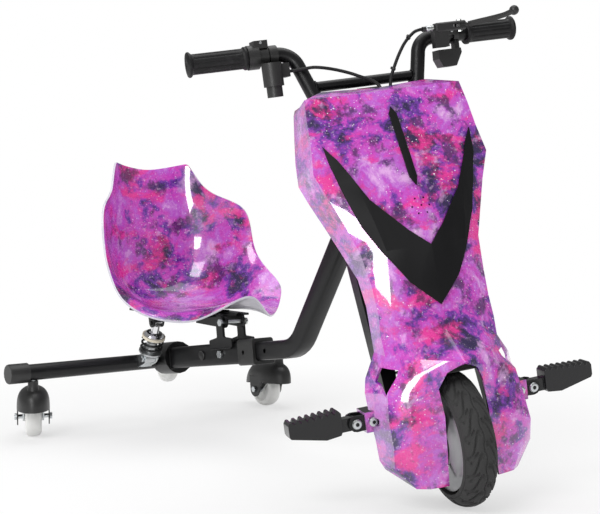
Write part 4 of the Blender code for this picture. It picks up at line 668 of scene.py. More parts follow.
class KART_OT_finishes(bpy.types.Operator):
    """Make the kart's materials and geometry trees"""
    bl_idname = "kart.finishes"
    bl_label = "Finishes"

    def execute(self, context):
        self.printed("galaxy_print", context.scene.kart_print, 1.0)
        self.printed("seat_print", context.scene.kart_print, 0.66)
        self.coats()
        self.metals()
        self.rubbers()
        for build in (fastener_tree, bead_tree, tread_tree):
            build()
        return {"FINISHED"}

    def printed(self, name, chosen, spread):
        """Clouds, streaks and stars under a clear coat, turned pale by a painted reflection on the faces marked
        for it.
        """
        look = Finish(name, chosen.magenta, 0.2, coat_weight=1.0, coat_roughness=0.035)
        look.shader.inputs["Coat IOR"].default_value = 1.6
        place = look.place()
        drift = look.add("ShaderNodeTexNoise", None,
                         {"Vector": place, "Scale": 10.0, "Detail": 4.0})
        pushed = look.add("ShaderNodeVectorMath", {"operation": "MULTIPLY_ADD"}, {
            0: drift.outputs["Color"], 1: (0.06, 0.06, 0.06), 2: place}).outputs[0]
        scale = chosen.cloud_scale * spread
        clouds = look.noise(scale, 12, 0.66, pushed)
        stops = [(0.385, chosen.deep), (0.45, chosen.purple), (0.505, chosen.magenta),
                 (0.575, chosen.violet), (0.68, chosen.pale)]
        colour = look.add("ShaderNodeValToRGB", {"stops": [(at, tuple(c)) for at, c in stops]},
                          {0: clouds}).outputs[0]
        streaks = look.noise(scale * 0.9, 10, 0.63, pushed, (1, 1, 1.7))
        colour = look.mix(colour, tuple(chosen.pink), streaks.ramp(0.505, 0.62) * 0.88)
        shade = look.noise(scale * 1.4, 10, 0.65, place).ramp(0.485, 0.375)
        colour = look.mix(colour, tuple(chosen.deep), shade * 0.80)
        haze = look.noise(scale * 1.7, 8, 0.63, pushed).ramp(0.56, 0.72)
        colour = look.mix(colour, tuple(chosen.pale), haze * 0.75)
        dust = look.noise(scale * 9, 3, 0.6, place).ramp(0.58, 0.72)
        colour = look.mix(colour, (0.86, 0.62, 0.88), dust * 0.30)
        thick = look.noise(11.0, 2, 0.5, place).ramp(0.36, 0.60)
        for spacing, size, share in ((1, 0.125, 0.80), (1.7, 0.175, 0.78), (0.5, 0.075, 0.50)):
            cells = look.add("ShaderNodeTexVoronoi", None, {
                "Vector": place, "Scale": chosen.star_scale * spacing})
            tint = look.add("ShaderNodeSeparateColor", None, {0: cells.outputs["Color"]})
            lit = look.field(tint.outputs[0]).ramp(1 - share, 1.15 - share)
            dim = look.field(tint.outputs[1]) * 0.6 + 0.4
            dot = look.field(cells.outputs["Distance"]).ramp(size, size * 0.6)
            colour = look.mix(colour, (1.0, 0.93, 1.0), dot * lit * dim * (thick * 0.7 + 0.3))
        # Painted reflection: each face's marked share mixes the print towards a pale lilac.
        sheen_source = look.add("ShaderNodeAttribute", {"attribute_name": "thin_film"})
        painted_sheen = look.field(sheen_source.outputs["Fac"]) * 0.40
        peel = look.noise(260, 2, 0.5, place)
        look.worn(colour, (0.58, 0.42, 0.66), painted_sheen, 0.22 + 0.10 * peel, (peel, 0.00005, 0.25))

    def coats(self):
        """Painted steel, moulded plastics and what they are wiped and rubbed by."""
        look = Finish("black_coat", (0.007, 0.007, 0.008), 0.40, shine=0.36)
        rub = look.noise(38, 6, 0.65).ramp(0.56, 0.78)
        look.worn((0.0055, 0.0055, 0.0062), (0.014, 0.014, 0.015), rub,
                  0.30 + 0.12 * rub + 0.10 * look.noise(90, 5, 0.7),
                  (look.noise(1100, 2, 0.5), 0.00006, 0.5))

        look = Finish("gloss_enamel", (0.008, 0.008, 0.009), 0.26, shine=0.30, coat_weight=0.30)
        peel = look.noise(140, 4, 0.6)
        look.worn((0.006, 0.006, 0.007), (0.013, 0.013, 0.014), peel, 0.16 + 0.16 * peel,
                  (peel, 0.0002, 0.5))

        look = Finish("black_shell", (0.006, 0.006, 0.0065), 0.46, shine=0.18)
        wipe = look.noise(26, 5, 0.6, squeeze=(1, 1, 0.35))
        look.worn((0.0045, 0.0045, 0.005), (0.010, 0.010, 0.011), wipe, 0.40 + 0.18 * wipe,
                  (look.noise(850, 3, 0.6), 0.00005, 0.4))

        look = Finish("black_plastic", (0.007, 0.007, 0.0075), 0.46, shine=0.36)
        scuff = look.noise(60, 6, 0.7).ramp(0.5, 0.75)
        look.worn((0.006, 0.006, 0.0065), (0.015, 0.015, 0.016), scuff, 0.38 + 0.16 * scuff,
                  (look.noise(1400, 3, 0.65), 0.0001, 0.6))

        look = Finish("pale_shell", (0.60, 0.58, 0.64), 0.30, coat_weight=0.3)
        haze = look.noise(34, 6, 0.6)
        look.worn((0.48, 0.45, 0.55), (0.72, 0.70, 0.76), haze, 0.24 + 0.16 * haze,
                  (look.noise(320), 0.0001, 0.4))

        look = Finish("white_nylon", (0.82, 0.82, 0.81), 0.34, coat_weight=0.15)
        milk = look.noise(55, 4, 0.55)
        look.worn((0.74, 0.75, 0.75), (0.90, 0.90, 0.89), milk, 0.28 + 0.16 * milk,
                  (look.noise(700, 2, 0.5), 0.00008, 0.4))

        for name, colour in (("cream_plastic", (0.70, 0.62, 0.48)),
                             ("red_plastic", (0.42, 0.012, 0.012)),
                             ("blue_wrap", (0.02, 0.09, 0.33))):
            look = Finish(name, colour, 0.35)
            wear = look.noise(160, 4, 0.6)
            look.worn(tuple(0.82 * part for part in colour), colour, wear, 0.28 + 0.2 * wear,
                      (wear, 0.0001, 0.4))

        look = Finish("dark_glass", (0.006, 0.008, 0.010), 0.08, coat_weight=1.0)
        smear = look.noise(120, 5, 0.6)
        look.worn((0.005, 0.007, 0.009), (0.016, 0.018, 0.021), smear, 0.04 + 0.12 * smear)

    def metals(self):
        """Bright, plated and cast metal, each with its own bloom or grain."""
        look = Finish("zinc_plate", (0.62, 0.64, 0.66), 0.30, 1.0)
        bloom = look.noise(240, 5, 0.6)
        cool = look.mix((0.50, 0.54, 0.58), (0.72, 0.73, 0.72), bloom)
        tone = look.noise(30, 3, 0.5).ramp(0.5, 0.8)
        look.worn(cool, (0.60, 0.61, 0.55), tone, 0.18 + 0.26 * bloom, (bloom, 0.0001, 0.35))

        look = Finish("chrome", (0.78, 0.78, 0.80), 0.07, 1.0)
        haze = look.noise(90, 5, 0.6)
        look.worn((0.70, 0.70, 0.73), (0.84, 0.84, 0.85), haze, 0.04 + 0.14 * haze)

        look = Finish("cast_alloy", (0.56, 0.57, 0.58), 0.38, 1.0)
        grain = look.noise(420, 5, 0.7)
        look.worn((0.44, 0.45, 0.46), (0.66, 0.67, 0.68), grain, 0.28 + 0.24 * grain,
                  (grain, 0.0002, 0.4))

        look = Finish("hub_alloy", (0.30, 0.30, 0.31), 0.34, 1.0)
        grain = look.noise(300, 5, 0.65)
        rings = look.noise(45, 3, 0.5, squeeze=(4, 1, 1))
        look.worn((0.24, 0.24, 0.25), (0.38, 0.38, 0.39), rings, 0.24 + 0.18 * grain,
                  (grain, 0.0001, 0.3))

    def rubbers(self):
        """Rubber of the grips, cables and pads, and the tyre's dusty one."""
        look = Finish("grip_rubber", (0.0065, 0.0065, 0.007), 0.55, shine=0.36)
        grain = look.noise(1500, 3, 0.7)
        rub = look.noise(70, 5, 0.6).ramp(0.48, 0.72)
        look.worn((0.0055, 0.0055, 0.006), (0.014, 0.014, 0.015), rub, 0.42 + 0.20 * grain,
                  (grain, 0.00015, 0.7))

        look = Finish("tyre_rubber", (0.008, 0.008, 0.0085), 0.66, shine=0.22)
        grain = look.noise(650, 4, 0.7)
        dust = look.noise(24, 6, 0.7).ramp(0.45, 0.80)
        look.worn((0.0065, 0.0065, 0.007), (0.019, 0.0185, 0.0185), dust, 0.55 + 0.22 * grain,
                  (grain, 0.0002, 0.8))


def mark_painted_side_sheen(thing, shares):
    """How much painted pale reflection each face takes, for the print to read."""
    sheen_source = thing.data.attributes.new("thin_film", "FLOAT", "FACE")
    sheen_source.data.foreach_set("value", shares)


class KART_OT_cowl(bpy.types.Operator):
    """Dress the cowl with its print, and give its corners a moulded radius"""
    bl_idname = "kart.cowl"
    bl_label = "Cowl"

    BEVEL, CORNER, WIDE_FACE, NARROW_SHARE = 0.0042, radians(28), 0.0055, 0.14
    CORE_LEAN, CORE_BACK = 0.8, 0.03
    # Painted reflection: faces turned to the side go pale, starting at this share of the side and over this span.
    FILM_START, FILM_SPAN = 0.80, 0.14

    def weighted(self):
        """The cowl's mesh, with a full bevel weight where both faces of a corner are wide."""
        bm = welded_copy("cowl")
        weight = bm.edges.layers.float.new("bevel_weight_edge")
        for edge in bm.edges:
            if len(edge.link_faces) != 2 or not edge.is_convex:
                continue
            if edge.calc_face_angle(0) < self.CORNER:
                continue
            width = min(face.calc_area() for face in edge.link_faces) / edge.calc_length()
            edge[weight] = 1.0 if width > self.WIDE_FACE else self.NARROW_SHARE
        return bm

    def line_inside(self, shell):
        """Black plastic on the faces that look inwards, at a core along the steering's rake."""
        shell.data.materials.append(bpy.data.materials["black_plastic"])
        straight = FRONT.inverted()
        turn = straight.to_3x3()
        for face in shell.data.polygons:
            spot = straight @ face.center
            core_y = HEAD_STRAIGHT.y + (spot.z - HEAD_STRAIGHT.z) * tan(RAKE) * self.CORE_LEAN
            arm = Vector((spot.x, spot.y - core_y - self.CORE_BACK, 0))
            if (turn @ face.normal).dot(arm) < 0:
                face.material_index = 1

    def execute(self, context):
        shell = show("cowl_shell", self.weighted(), "galaxy_print", 32)
        soften(shell, self.BEVEL, 3, weighted=True)
        self.line_inside(shell)
        # Painted reflection: the further a face turns to the side, the paler its print is painted.
        side = FACING @ Vector((1, 0, 0))
        mark_painted_side_sheen(shell, [
            min(1.0, max(0.0, (abs(face.normal.dot(side)) - self.FILM_START) / self.FILM_SPAN))
            for face in shell.data.polygons])
        settle(shell, "steering", "cowl")
        finished_copies("black_shell", 40, v_inlay=0.0009, centre_fin=0.0009)
        finished_copies("black_plastic", speaker=0)
        return {"FINISHED"}


class KART_OT_seat(bpy.types.Operator):
    """Mould the bucket seat, and mount it on its base"""
    bl_idname = "kart.seat"
    bl_label = "Seat"

    THICK, RIM_BEVEL, PAN_Z, POMMEL_HALF = 0.004, 0.0013, 0.2345, 0.084
    SHARES = (0, 0.23, 0.45, 0.64, 0.8, 0.92, 1)
    PAD_X, PAD_YS, PAD_BORE, PAD_RADIUS, PAD_THICK = 0.045, (0.655, 0.765), 0.003, 0.010, 0.0022

    def grid(self):
        """Rows from the front rim to the top: centre y and z, pommel, rim x, y and z, rise, back."""
        rows = [
            (0.503, 0.224, 0.055, 0.182, 0.654, 0.274, 7, 1.25),
            (0.560, self.PAN_Z, 0.026, 0.176, 0.685, 0.298, 5, 1.5),
            (0.640, self.PAN_Z, 0.004, 0.168, 0.720, 0.327, 5, 1.7),
            (0.740, self.PAN_Z, 0.000, 0.166, 0.734, 0.364, 4.5, 1.5),
            (0.820, 0.243, 0.000, 0.163, 0.743, 0.4245, 3.5, 3.0),
            (0.846, 0.290, 0.000, 0.135, 0.775, 0.442, 3.5, 4.5),
            (0.852, 0.370, 0.000, 0.107, 0.808, 0.457, 3.0, 4.0),
            (0.858, 0.440, 0.000, 0.092, 0.830, 0.490, 2.5, 4.0),
            (0.863, 0.501, 0.000, 0.082, 0.840, 0.515, 1.5, 3.0),
        ]
        bm = bmesh.new()
        lines = []
        for y0, z0, pommel, x1, y1, z1, rise, back in rows:
            line = []
            for share in [-share for share in self.SHARES[:0:-1]] + list(self.SHARES):
                out = abs(share)
                bump = cos(pi * min(x1 * out / self.POMMEL_HALF, 1)) / 2 + 0.5
                line.append(bm.verts.new((x1 * share, y0 + (y1 - y0) * out ** back,
                                          z0 + (z1 - z0) * out ** rise + pommel * bump)))
            lines.append(line)
        skin(bm, lines, closed=False)
        return bm

    def mounts(self):
        """Rubber pads on the base, and hexagon bolts under it."""
        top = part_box("seat_base")[1].z
        spots = [(x, (REAR @ Vector((0, y, 0))).y) for x in (-self.PAD_X, self.PAD_X)
                 for y in self.PAD_YS]
        under = [(x, y, top - 0.004) for x, y in spots]
        fasteners("seat_bolts", under, (0, 0, -1), hex_head(0.0055, 0.0045), "seat")
        profile = [(self.PAD_BORE, 0), (self.PAD_RADIUS, 0), (self.PAD_RADIUS, self.PAD_THICK),
                   (self.PAD_BORE, self.PAD_THICK)]
        sleeves = [placed(lathe(profile, 32, True), Matrix.Translation((x, y, top + 0.0001)))
                   for x, y in spots]
        settle(show("seat_pads", join(*sleeves), "grip_rubber"), "seat", slot="black_rubber")

    def execute(self, context):
        shell = show("seat_bucket", self.grid(), "seat_print", 180, REAR)
        shell.data.materials.append(bpy.data.materials["pale_shell"])
        modify(shell, "SUBSURF", levels=3, render_levels=3)
        modify(shell, "SOLIDIFY", thickness=self.THICK, offset=-1, material_offset=1,
               material_offset_rim=1)
        modify(shell, "BEVEL", width=self.RIM_BEVEL, segments=2, limit_method="ANGLE",
               angle_limit=radians(60))
        baked(shell)
        # The seat's print takes none of the painted pale reflection.
        mark_painted_side_sheen(shell, [0.0] * len(shell.data.polygons))
        settle(shell, "seat", "seat_shell")
        finished_copies("black_coat", seat_base=0.0008)
        self.mounts()
        return {"FINISHED"}


class KART_OT_front_wheel(bpy.types.Operator):
    """Make the grooved tyre and the hub motor that fills it"""
    bl_idname = "kart.front_wheel"
    bl_label = "Front wheel"

    EDGE, BOSS = 0.074 - GAP, 0.0657
    WEB_X, SCREW_RING, SCREWS = 0.0322, 0.050, 6
    VALVE, VALVE_LEAN = (0.0225, 0.0, -0.0655), (0.75, 0, 0.66)

    def tyre(self, chosen, turn):
        """The grooved skin, closed on its inner side."""
        tyre = grown("front_tyre", line_mesh([(0, 0, 0)], False), "Tyre skin", {
            "Grooves": chosen.grooves, "Depth": chosen.depth,
            "Finish": bpy.data.materials["tyre_rubber"]})
        bm = bmesh.new()
        bm.from_mesh(tyre.data)
        bmesh.ops.bridge_loops(bm, edges=[edge for edge in bm.edges if edge.is_boundary])
        bmesh.ops.recalc_face_normals(bm, faces=bm.faces)
        bm.transform(turn)
        bm.to_mesh(tyre.data)
        bm.free()
        tyre.data.shade_smooth()
        tyre.data.set_sharp_from_angle(angle=radians(60))
        settle(tyre, "front_wheel", "tyre")

    def hub(self, turn):
        """The motor's case and the screws of its covers."""
        side = [(0.0063, self.BOSS), (0.0115, self.BOSS), (0.013, self.BOSS - 0.0015),
                (0.0145, 0.0415), (0.017, 0.0402), (0.043, 0.0355), (0.0455, 0.0348),
                (0.0475, 0.0325), (0.0525, 0.0322), (0.0535, 0.0338), (0.062, 0.0300),
                (0.066, 0.0268), (self.EDGE - 0.004, 0.0235), (self.EDGE - 0.0012, 0.0232),
                (self.EDGE, 0.022)]
        case = lathe(side + [(radius, -height) for radius, height in reversed(side)], 96, True)
        settle(show("hub_motor_case", case, "hub_alloy", 40, turn @ ACROSS), "front_wheel",
               "hub_motor")
        for word, way in SIDES:
            ring = [turn @ Vector((way * self.WEB_X, self.SCREW_RING * cos(angle),
                                   self.SCREW_RING * sin(angle)))
                    for angle in turns(self.SCREWS, 0.5)]
            fasteners("hub_screws_" + word, ring, FACING @ Vector((way, 0, 0)),
                      pan_head(0.0030, 0.0022, 24), "front_wheel")

    def execute(self, context):
        turn = FRONT @ Matrix.Translation(WHEEL)
        self.tyre(context.scene.kart_tyre, turn)
        self.hub(turn)
        stem = lathe([(0, 0.0), (0.0026, 0.0), (0.0024, 0.010), (0.0030, 0.011), (0.0030, 0.016),
                      (0.0018, 0.017), (0, 0.017)], 20)
        spot = turn @ Matrix.Translation(self.VALVE) @ along(self.VALVE_LEAN)
        settle(show("valve_stem", stem, "grip_rubber", place=spot), "front_wheel",
               slot="black_rubber")
        finished_copies("zinc_plate", wheel_axle=0.0006, mount_plate=0.0006)
        finished_copies("black_plastic", mudguard=0.0004)
        finished_copies("black_coat", fork=0.0012)
        return {"FINISHED"}


class KART_OT_handlebar(bpy.types.Operator):
    """Make the handlebar and its brace, and finish the clamp, headset and what the cowl holds"""
    bl_idname = "kart.handlebar"
    bl_label = "Handlebar"

    REACH = BRACE[0] - BAR_RADIUS - 0.0004
    WELD_RADIUS, WELD_BEAD, WELD_POINTS = 0.0088, 0.0013, 24

    def brace_weld(self, way):
        """Points round the brace's end, on the bar's curved side."""
        slope = (KNEE[0] - FOOT[0]) / (KNEE[2] - FOOT[2])
        ring = []
        for angle in turns(self.WELD_POINTS):
            lift = self.WELD_RADIUS * sin(angle)
            shift = self.WELD_RADIUS * cos(angle)
            dip = BAR_RADIUS - sqrt(BAR_RADIUS ** 2 - shift ** 2 * 0.9)
            ring.append((way * (self.REACH - 0.0006 + dip * 0.9 + lift * slope),
                         BRACE[1] + shift, BRACE[2] + lift))
        return ring

    def execute(self, context):
        half = [(BAR_HALF, BAR_Y, BAR_Z), KNEE, FOOT]
        corners = half + [(-x, y, z) for x, y, z in reversed(half)]
        bends = (0, KNEE_BEND, FOOT_BEND, FOOT_BEND, KNEE_BEND, 0)
        bar = pipe(rounded_line(corners, bends), BAR_RADIUS, 32)
        settle(show("bar_tube", bar, "black_coat", place=FRONT), "steering", "handlebar")
        brace = pipe([(x, BRACE[1], BRACE[2]) for x in (-self.REACH, self.REACH)], BRACE_RADIUS, 32)
        settle(show("brace_tube", brace, "black_coat", place=FRONT), "steering", "handlebar_brace")
        for word, way in SIDES:
            bead("brace_weld_" + word, self.brace_weld(way), "steering", self.WELD_BEAD,
                 matrix=FRONT)
        finished_copies("black_coat", handlebar_clamp=0.0007)
        finished_copies("zinc_plate", headset_cup_upper=0.0006, headset_cup_lower=0.0006)
        finished_copies("blue_wrap", battery=0)
        finished_copies("cast_alloy", controller=0.0005)
        return {"FINISHED"}


class KART_OT_grips(bpy.types.Operator):
    """Make both fluted grips, the display's face and the small screws of the controls"""
    bl_idname = "kart.grips"
    bl_label = "Grips"

    RADIUS, FLANGE, STEPS = 0.0155, 0.0190, 26
    HOUSING_SCREW = (-0.1545, BAR_Y - 0.0130, BAR_Z + 0.0200)
    CLAMP_SCREW = (0.1455, BAR_Y - 0.0385, 0.6815)
    GLASS_SIZE, GLASS = (0.026, 0.0010, 0.015), (0.1465, 0.2135, 0.6440)
    KEY_XS, KEY_Y, KEY_Z = (0.1390, 0.1465, 0.1540), 0.2130, 0.6330
    BARREL = (0.1150, 0.172, 0.688)

    def grip(self, name, node, inner, way, chosen):
        """A fluted grip from its inner end to a flange past the bar's end."""
        bore, end = BAR_RADIUS + GAP, BAR_HALF + GAP
        radius, flange = self.RADIUS, self.FLANGE
        low, high = inner + 0.009, end - 0.006
        body = [(radius, low + (high - low) * i / self.STEPS) for i in range(self.STEPS + 1)]
        outer = [(bore, inner), (radius + 0.0012, inner), (radius + 0.002, inner + 0.001),
                 (radius + 0.002, inner + 0.0045), (radius + 0.0010, inner + 0.0055),
                 (radius, inner + 0.007)]
        tail = [(radius, end - 0.0045), (flange - 0.0007, end - 0.0018), (flange, end - 0.0008),
                (flange, end + 0.0015), (flange - 0.0008, end + 0.0023),
                (flange * 0.7, end + 0.003), (flange * 0.66, end + 0.0035), (0.004, end + 0.0035),
                (0.003, end + 0.0028), (0, end + 0.0028)]
        bm = lathe([(0, end), (bore, end)] + outer + body + tail, 120,
                   flutes=(chosen.flutes, chosen.depth, low + 0.002, high - 0.002))
        turn = FRONT @ Matrix.Translation((0, BAR_Y, BAR_Z))
        turn = turn @ Matrix.Rotation(way * pi / 2, 4, "Y")
        settle(show(name, bm, "grip_rubber", 40, turn), BODY_OF[node], node)

    def display(self, back):
        """The display's dark glass and its three keys, facing the driver."""
        screen = show("display_glass", block(*self.GLASS_SIZE, self.GLASS), "dark_glass",
                      place=FRONT)
        soften(screen, 0.0004)
        settle(screen, "steering")
        keys = [FRONT @ Vector((x, self.KEY_Y, self.KEY_Z)) for x in self.KEY_XS]
        key = lathe([(0, 0.0012), (0.0014, 0.0012), (0.0018, 0.0008), (0.0018, 0), (0, 0)], 20)
        fasteners("display_keys", keys, back, key, "steering", "grip_rubber", "black_rubber")

    def execute(self, context):
        chosen = context.scene.kart_grips
        self.grip("left_hand_grip", "left_grip", 0.184, 1, chosen)
        self.grip("twist_grip", "throttle_grip", 0.1756, -1, chosen)
        finished_copies("black_plastic", throttle_housing=0.0006, switch_unit=0.0007,
                        brake_body=0.0006, display_box=0.0008)
        finished_copies("black_plastic", 50, brake_lever=0.0005)
        finished_copies("red_plastic", horn_button=0.0004)
        finished_copies("zinc_plate", lever_pivot=0.0003)
        back = FACING @ Vector((0, 1, 0))
        fasteners("housing_screw", [FRONT @ Vector(self.HOUSING_SCREW)], -back,
                  pan_head(0.0022, 0.0012, 20), "steering")
        fasteners("brake_clamp_screw", [FRONT @ Vector(self.CLAMP_SCREW)], -back,
                  pan_head(0.0026, 0.0018, 20), "steering")
        self.display(back)
        barrel = lathe([(0.0046, 0), (0.0046, 0.0030), (0.0040, 0.0034), (0.0040, 0.0066),
                        (0.0046, 0.0070), (0.0046, 0.0110), (0.0032, 0.0128), (0, 0.0128), (0, 0)],
                       32)
        spot = FRONT @ Matrix.Translation(self.BARREL) @ along((-1, 0, 0))
        settle(show("cable_barrel", barrel, "zinc_plate", place=spot), "steering", slot="zinc")
        return {"FINISHED"}


class KART_OT_cables(bpy.types.Operator):
    """Run the brake and throttle cables and their ties"""
    bl_idname = "kart.cables"
    bl_label = "Cables"

    RADIUS = 0.0025
    CONTROLLER_TOP = Vector((0, 0.100874, 0.492268))
    SOCKET_X, STRAIGHT = 0.015, 0.010
    TIED_AT = (20, 34)

    def socket(self, way):
        """The last two points of a cable: above its place on the controller, and on it."""
        meet = self.CONTROLLER_TOP + Vector((way * self.SOCKET_X, 0, 0)) + STEER_AXIS * 2 * GAP
        return [meet + STEER_AXIS * self.STRAIGHT, meet]

    def tie(self, line, at):
        """A band round the cable at one of its points, with its lock."""
        lie = (line[at + 1] - line[at - 1]).normalized()
        turn = FRONT @ Matrix.Translation(line[at]) @ along(lie)
        ring = [(0.0026, -0.0014), (0.0034, -0.0014), (0.0034, 0.0014), (0.0026, 0.0014)]
        lock = block(0.0022, 0.0030, 0.0034, (0.0042, 0, 0))
        return placed(lathe(ring, 28, True), turn), placed(lock, turn)

    def execute(self, context):
        brake = [(0.0967, 0.172, 0.688), (0.0920, 0.172, 0.688), (0.080, 0.170, 0.684),
                 (0.060, 0.163, 0.668), (0.040, 0.157, 0.640), (0.0265, 0.152, 0.611),
                 (0.022, 0.132, 0.572), (0.018, 0.112, 0.532), *self.socket(1)]
        throttle = [(-0.1181, 0.187, 0.650), (-0.1120, 0.187, 0.650), (-0.098, 0.183, 0.6505),
                    (-0.079, 0.178, 0.6505), (-0.050, 0.172, 0.643), (-0.020, 0.163, 0.630),
                    (0.0079, 0.152, 0.611), (0.006, 0.131, 0.572), (-0.006, 0.112, 0.532),
                    *self.socket(-1)]
        for name, node, route in (("brake_lead", "brake_cable", brake),
                                  ("throttle_lead", "throttle_cable", throttle)):
            bm = pipe(smooth_line(route), self.RADIUS, 20)
            settle(show(name, bm, "grip_rubber", 60, FRONT), "steering", node)
        line = smooth_line(brake)
        parts = [part for at in self.TIED_AT for part in self.tie(line, at)]
        settle(show("cable_ties", join(*parts), "black_plastic"), "steering", slot="black_plastic")
        return {"FINISHED"}


class KART_OT_frame_tubes(bpy.types.Operator):
    """Finish the frame tubes, brackets and their welds"""
    bl_idname = "kart.frame_tubes"
    bl_label = "Frame tubes"

    SOCKET_Y, SOCKET_HALF = 0.7435, 0.0206
    FRONT_TUBE_FOOT, FRONT_TUBE_TOP = (0, 0.362, tube_z(0.362)), (0, 0.16229, 0.513)
    FRONT_TUBE_HALF, HEAD_REACH = 0.0165, 0.0238
    BRACKET_X, BRACKET_Y, BRACKET_LONG, BRACKET_UP = 0.0264, 0.528, 0.064, 0.0100
    BRACKET_POINTS = 16
    PLUG_X, PLUG_Y = -0.0201, 0.632

    def socket_ring(self):
        """Points round the lower tube at its socket weld."""
        y, z = self.SOCKET_Y, tube_z(self.SOCKET_Y)
        return [(x, y + up * sin(TUBE_SLOPE), z + up * cos(TUBE_SLOPE))
                for x, up in square_ring(self.SOCKET_HALF)]

    def head_ring(self):
        """Points round the front tube where it meets the head tube."""
        top = Vector(self.FRONT_TUBE_TOP)
        rise = (top - Vector(self.FRONT_TUBE_FOOT)).normalized()
        across = Vector((0, rise.z, -rise.y))
        back = Vector((0, STEER_AXIS.z, -STEER_AXIS.y))
        ring = []
        for x, lift in square_ring(self.FRONT_TUBE_HALF):
            start = top + across * lift
            want = sqrt(self.HEAD_REACH ** 2 - x ** 2)
            travel = (want - (start - HEAD_STRAIGHT).dot(back)) / rise.dot(back)
            ring.append(start + rise * travel + Vector((x, 0, 0)))
        return ring

    def bracket_line(self, way):
        """Points along the foot of the seat's bracket, on one side of the tube."""
        last = self.BRACKET_POINTS - 1
        ys = [self.BRACKET_Y + self.BRACKET_LONG * i / last for i in range(self.BRACKET_POINTS)]
        return [(way * self.BRACKET_X, y, tube_z(y) + self.BRACKET_UP) for y in ys]

    def execute(self, context):
        finished_copies("black_coat", rear_tube=0.0005, crossbar=0.0008, front_tube=0.0004,
                        head_tube=0.0008, seat_pivot_bracket=0.0007, roller_bracket=0.0006)
        finished_copies("black_plastic", sleeve_collar=0.0009)
        finished_copies("black_plastic", 50, crossbar_cap_left=0.0008, crossbar_cap_right=0.0008)
        finished_copies("zinc_plate", lock_bolt=0.0005, pivot_bolt=0.0005, shock_bolt=0.0005,
                        shock_clevis=0.0005)
        bead("socket_weld", self.socket_ring(), "chassis", 0.0019)
        bead("head_weld", self.head_ring(), "front_frame", 0.0017)
        for word, way in SIDES:
            bead("bracket_weld_" + word, self.bracket_line(way), "chassis", 0.0014, closed=False)
        plug = lathe([(0, 0.0026), (0.0050, 0.0026), (0.0066, 0.0020), (0.0074, 0.0020),
                      (0.0084, 0.0026), (0.0092, 0.0018), (0.0094, 0), (0, 0)], 48)
        spot = Matrix.Translation((self.PLUG_X, self.PLUG_Y, tube_z(self.PLUG_Y)))
        spot = REAR @ spot @ along((-1, 0, 0))
        settle(show("tube_plug", plug, "black_plastic", place=spot), "chassis",
               slot="black_plastic")
        return {"FINISHED"}


class KART_OT_footrests(bpy.types.Operator):
    """Finish the folding footrests and their bright screws"""
    bl_idname = "kart.footrests"
    bl_label = "Footrests"

    def execute(self, context):
        finished_copies("gloss_enamel", footrest_left=0.0006, footrest_right=0.0006)
        finished_copies("black_coat", footrest_bracket_left=0.0006, footrest_bracket_right=0.0006)
        # Each kind: place across, reach to front and back, radius, height
        screws = (("fold", FOLD[0], 0.0129, 0.0072, 0.0046),
                  ("stub", STUB_X, 0.0176, 0.0067, 0.0040))
        for word, way in SIDES:
            for face, depth in (("front", -1), ("rear", 1)):
                for kind, x, reach, radius, height in screws:
                    spot = FRONT @ Vector((way * x, FOLD[1] + depth * reach, FOLD[2]))
                    fasteners("%s_screw_%s_%s" % (kind, word, face), [spot],
                              FACING @ Vector((0, depth, 0)), pan_head(radius, height, 36, 0.4),
                              "steering")
        return {"FINISHED"}


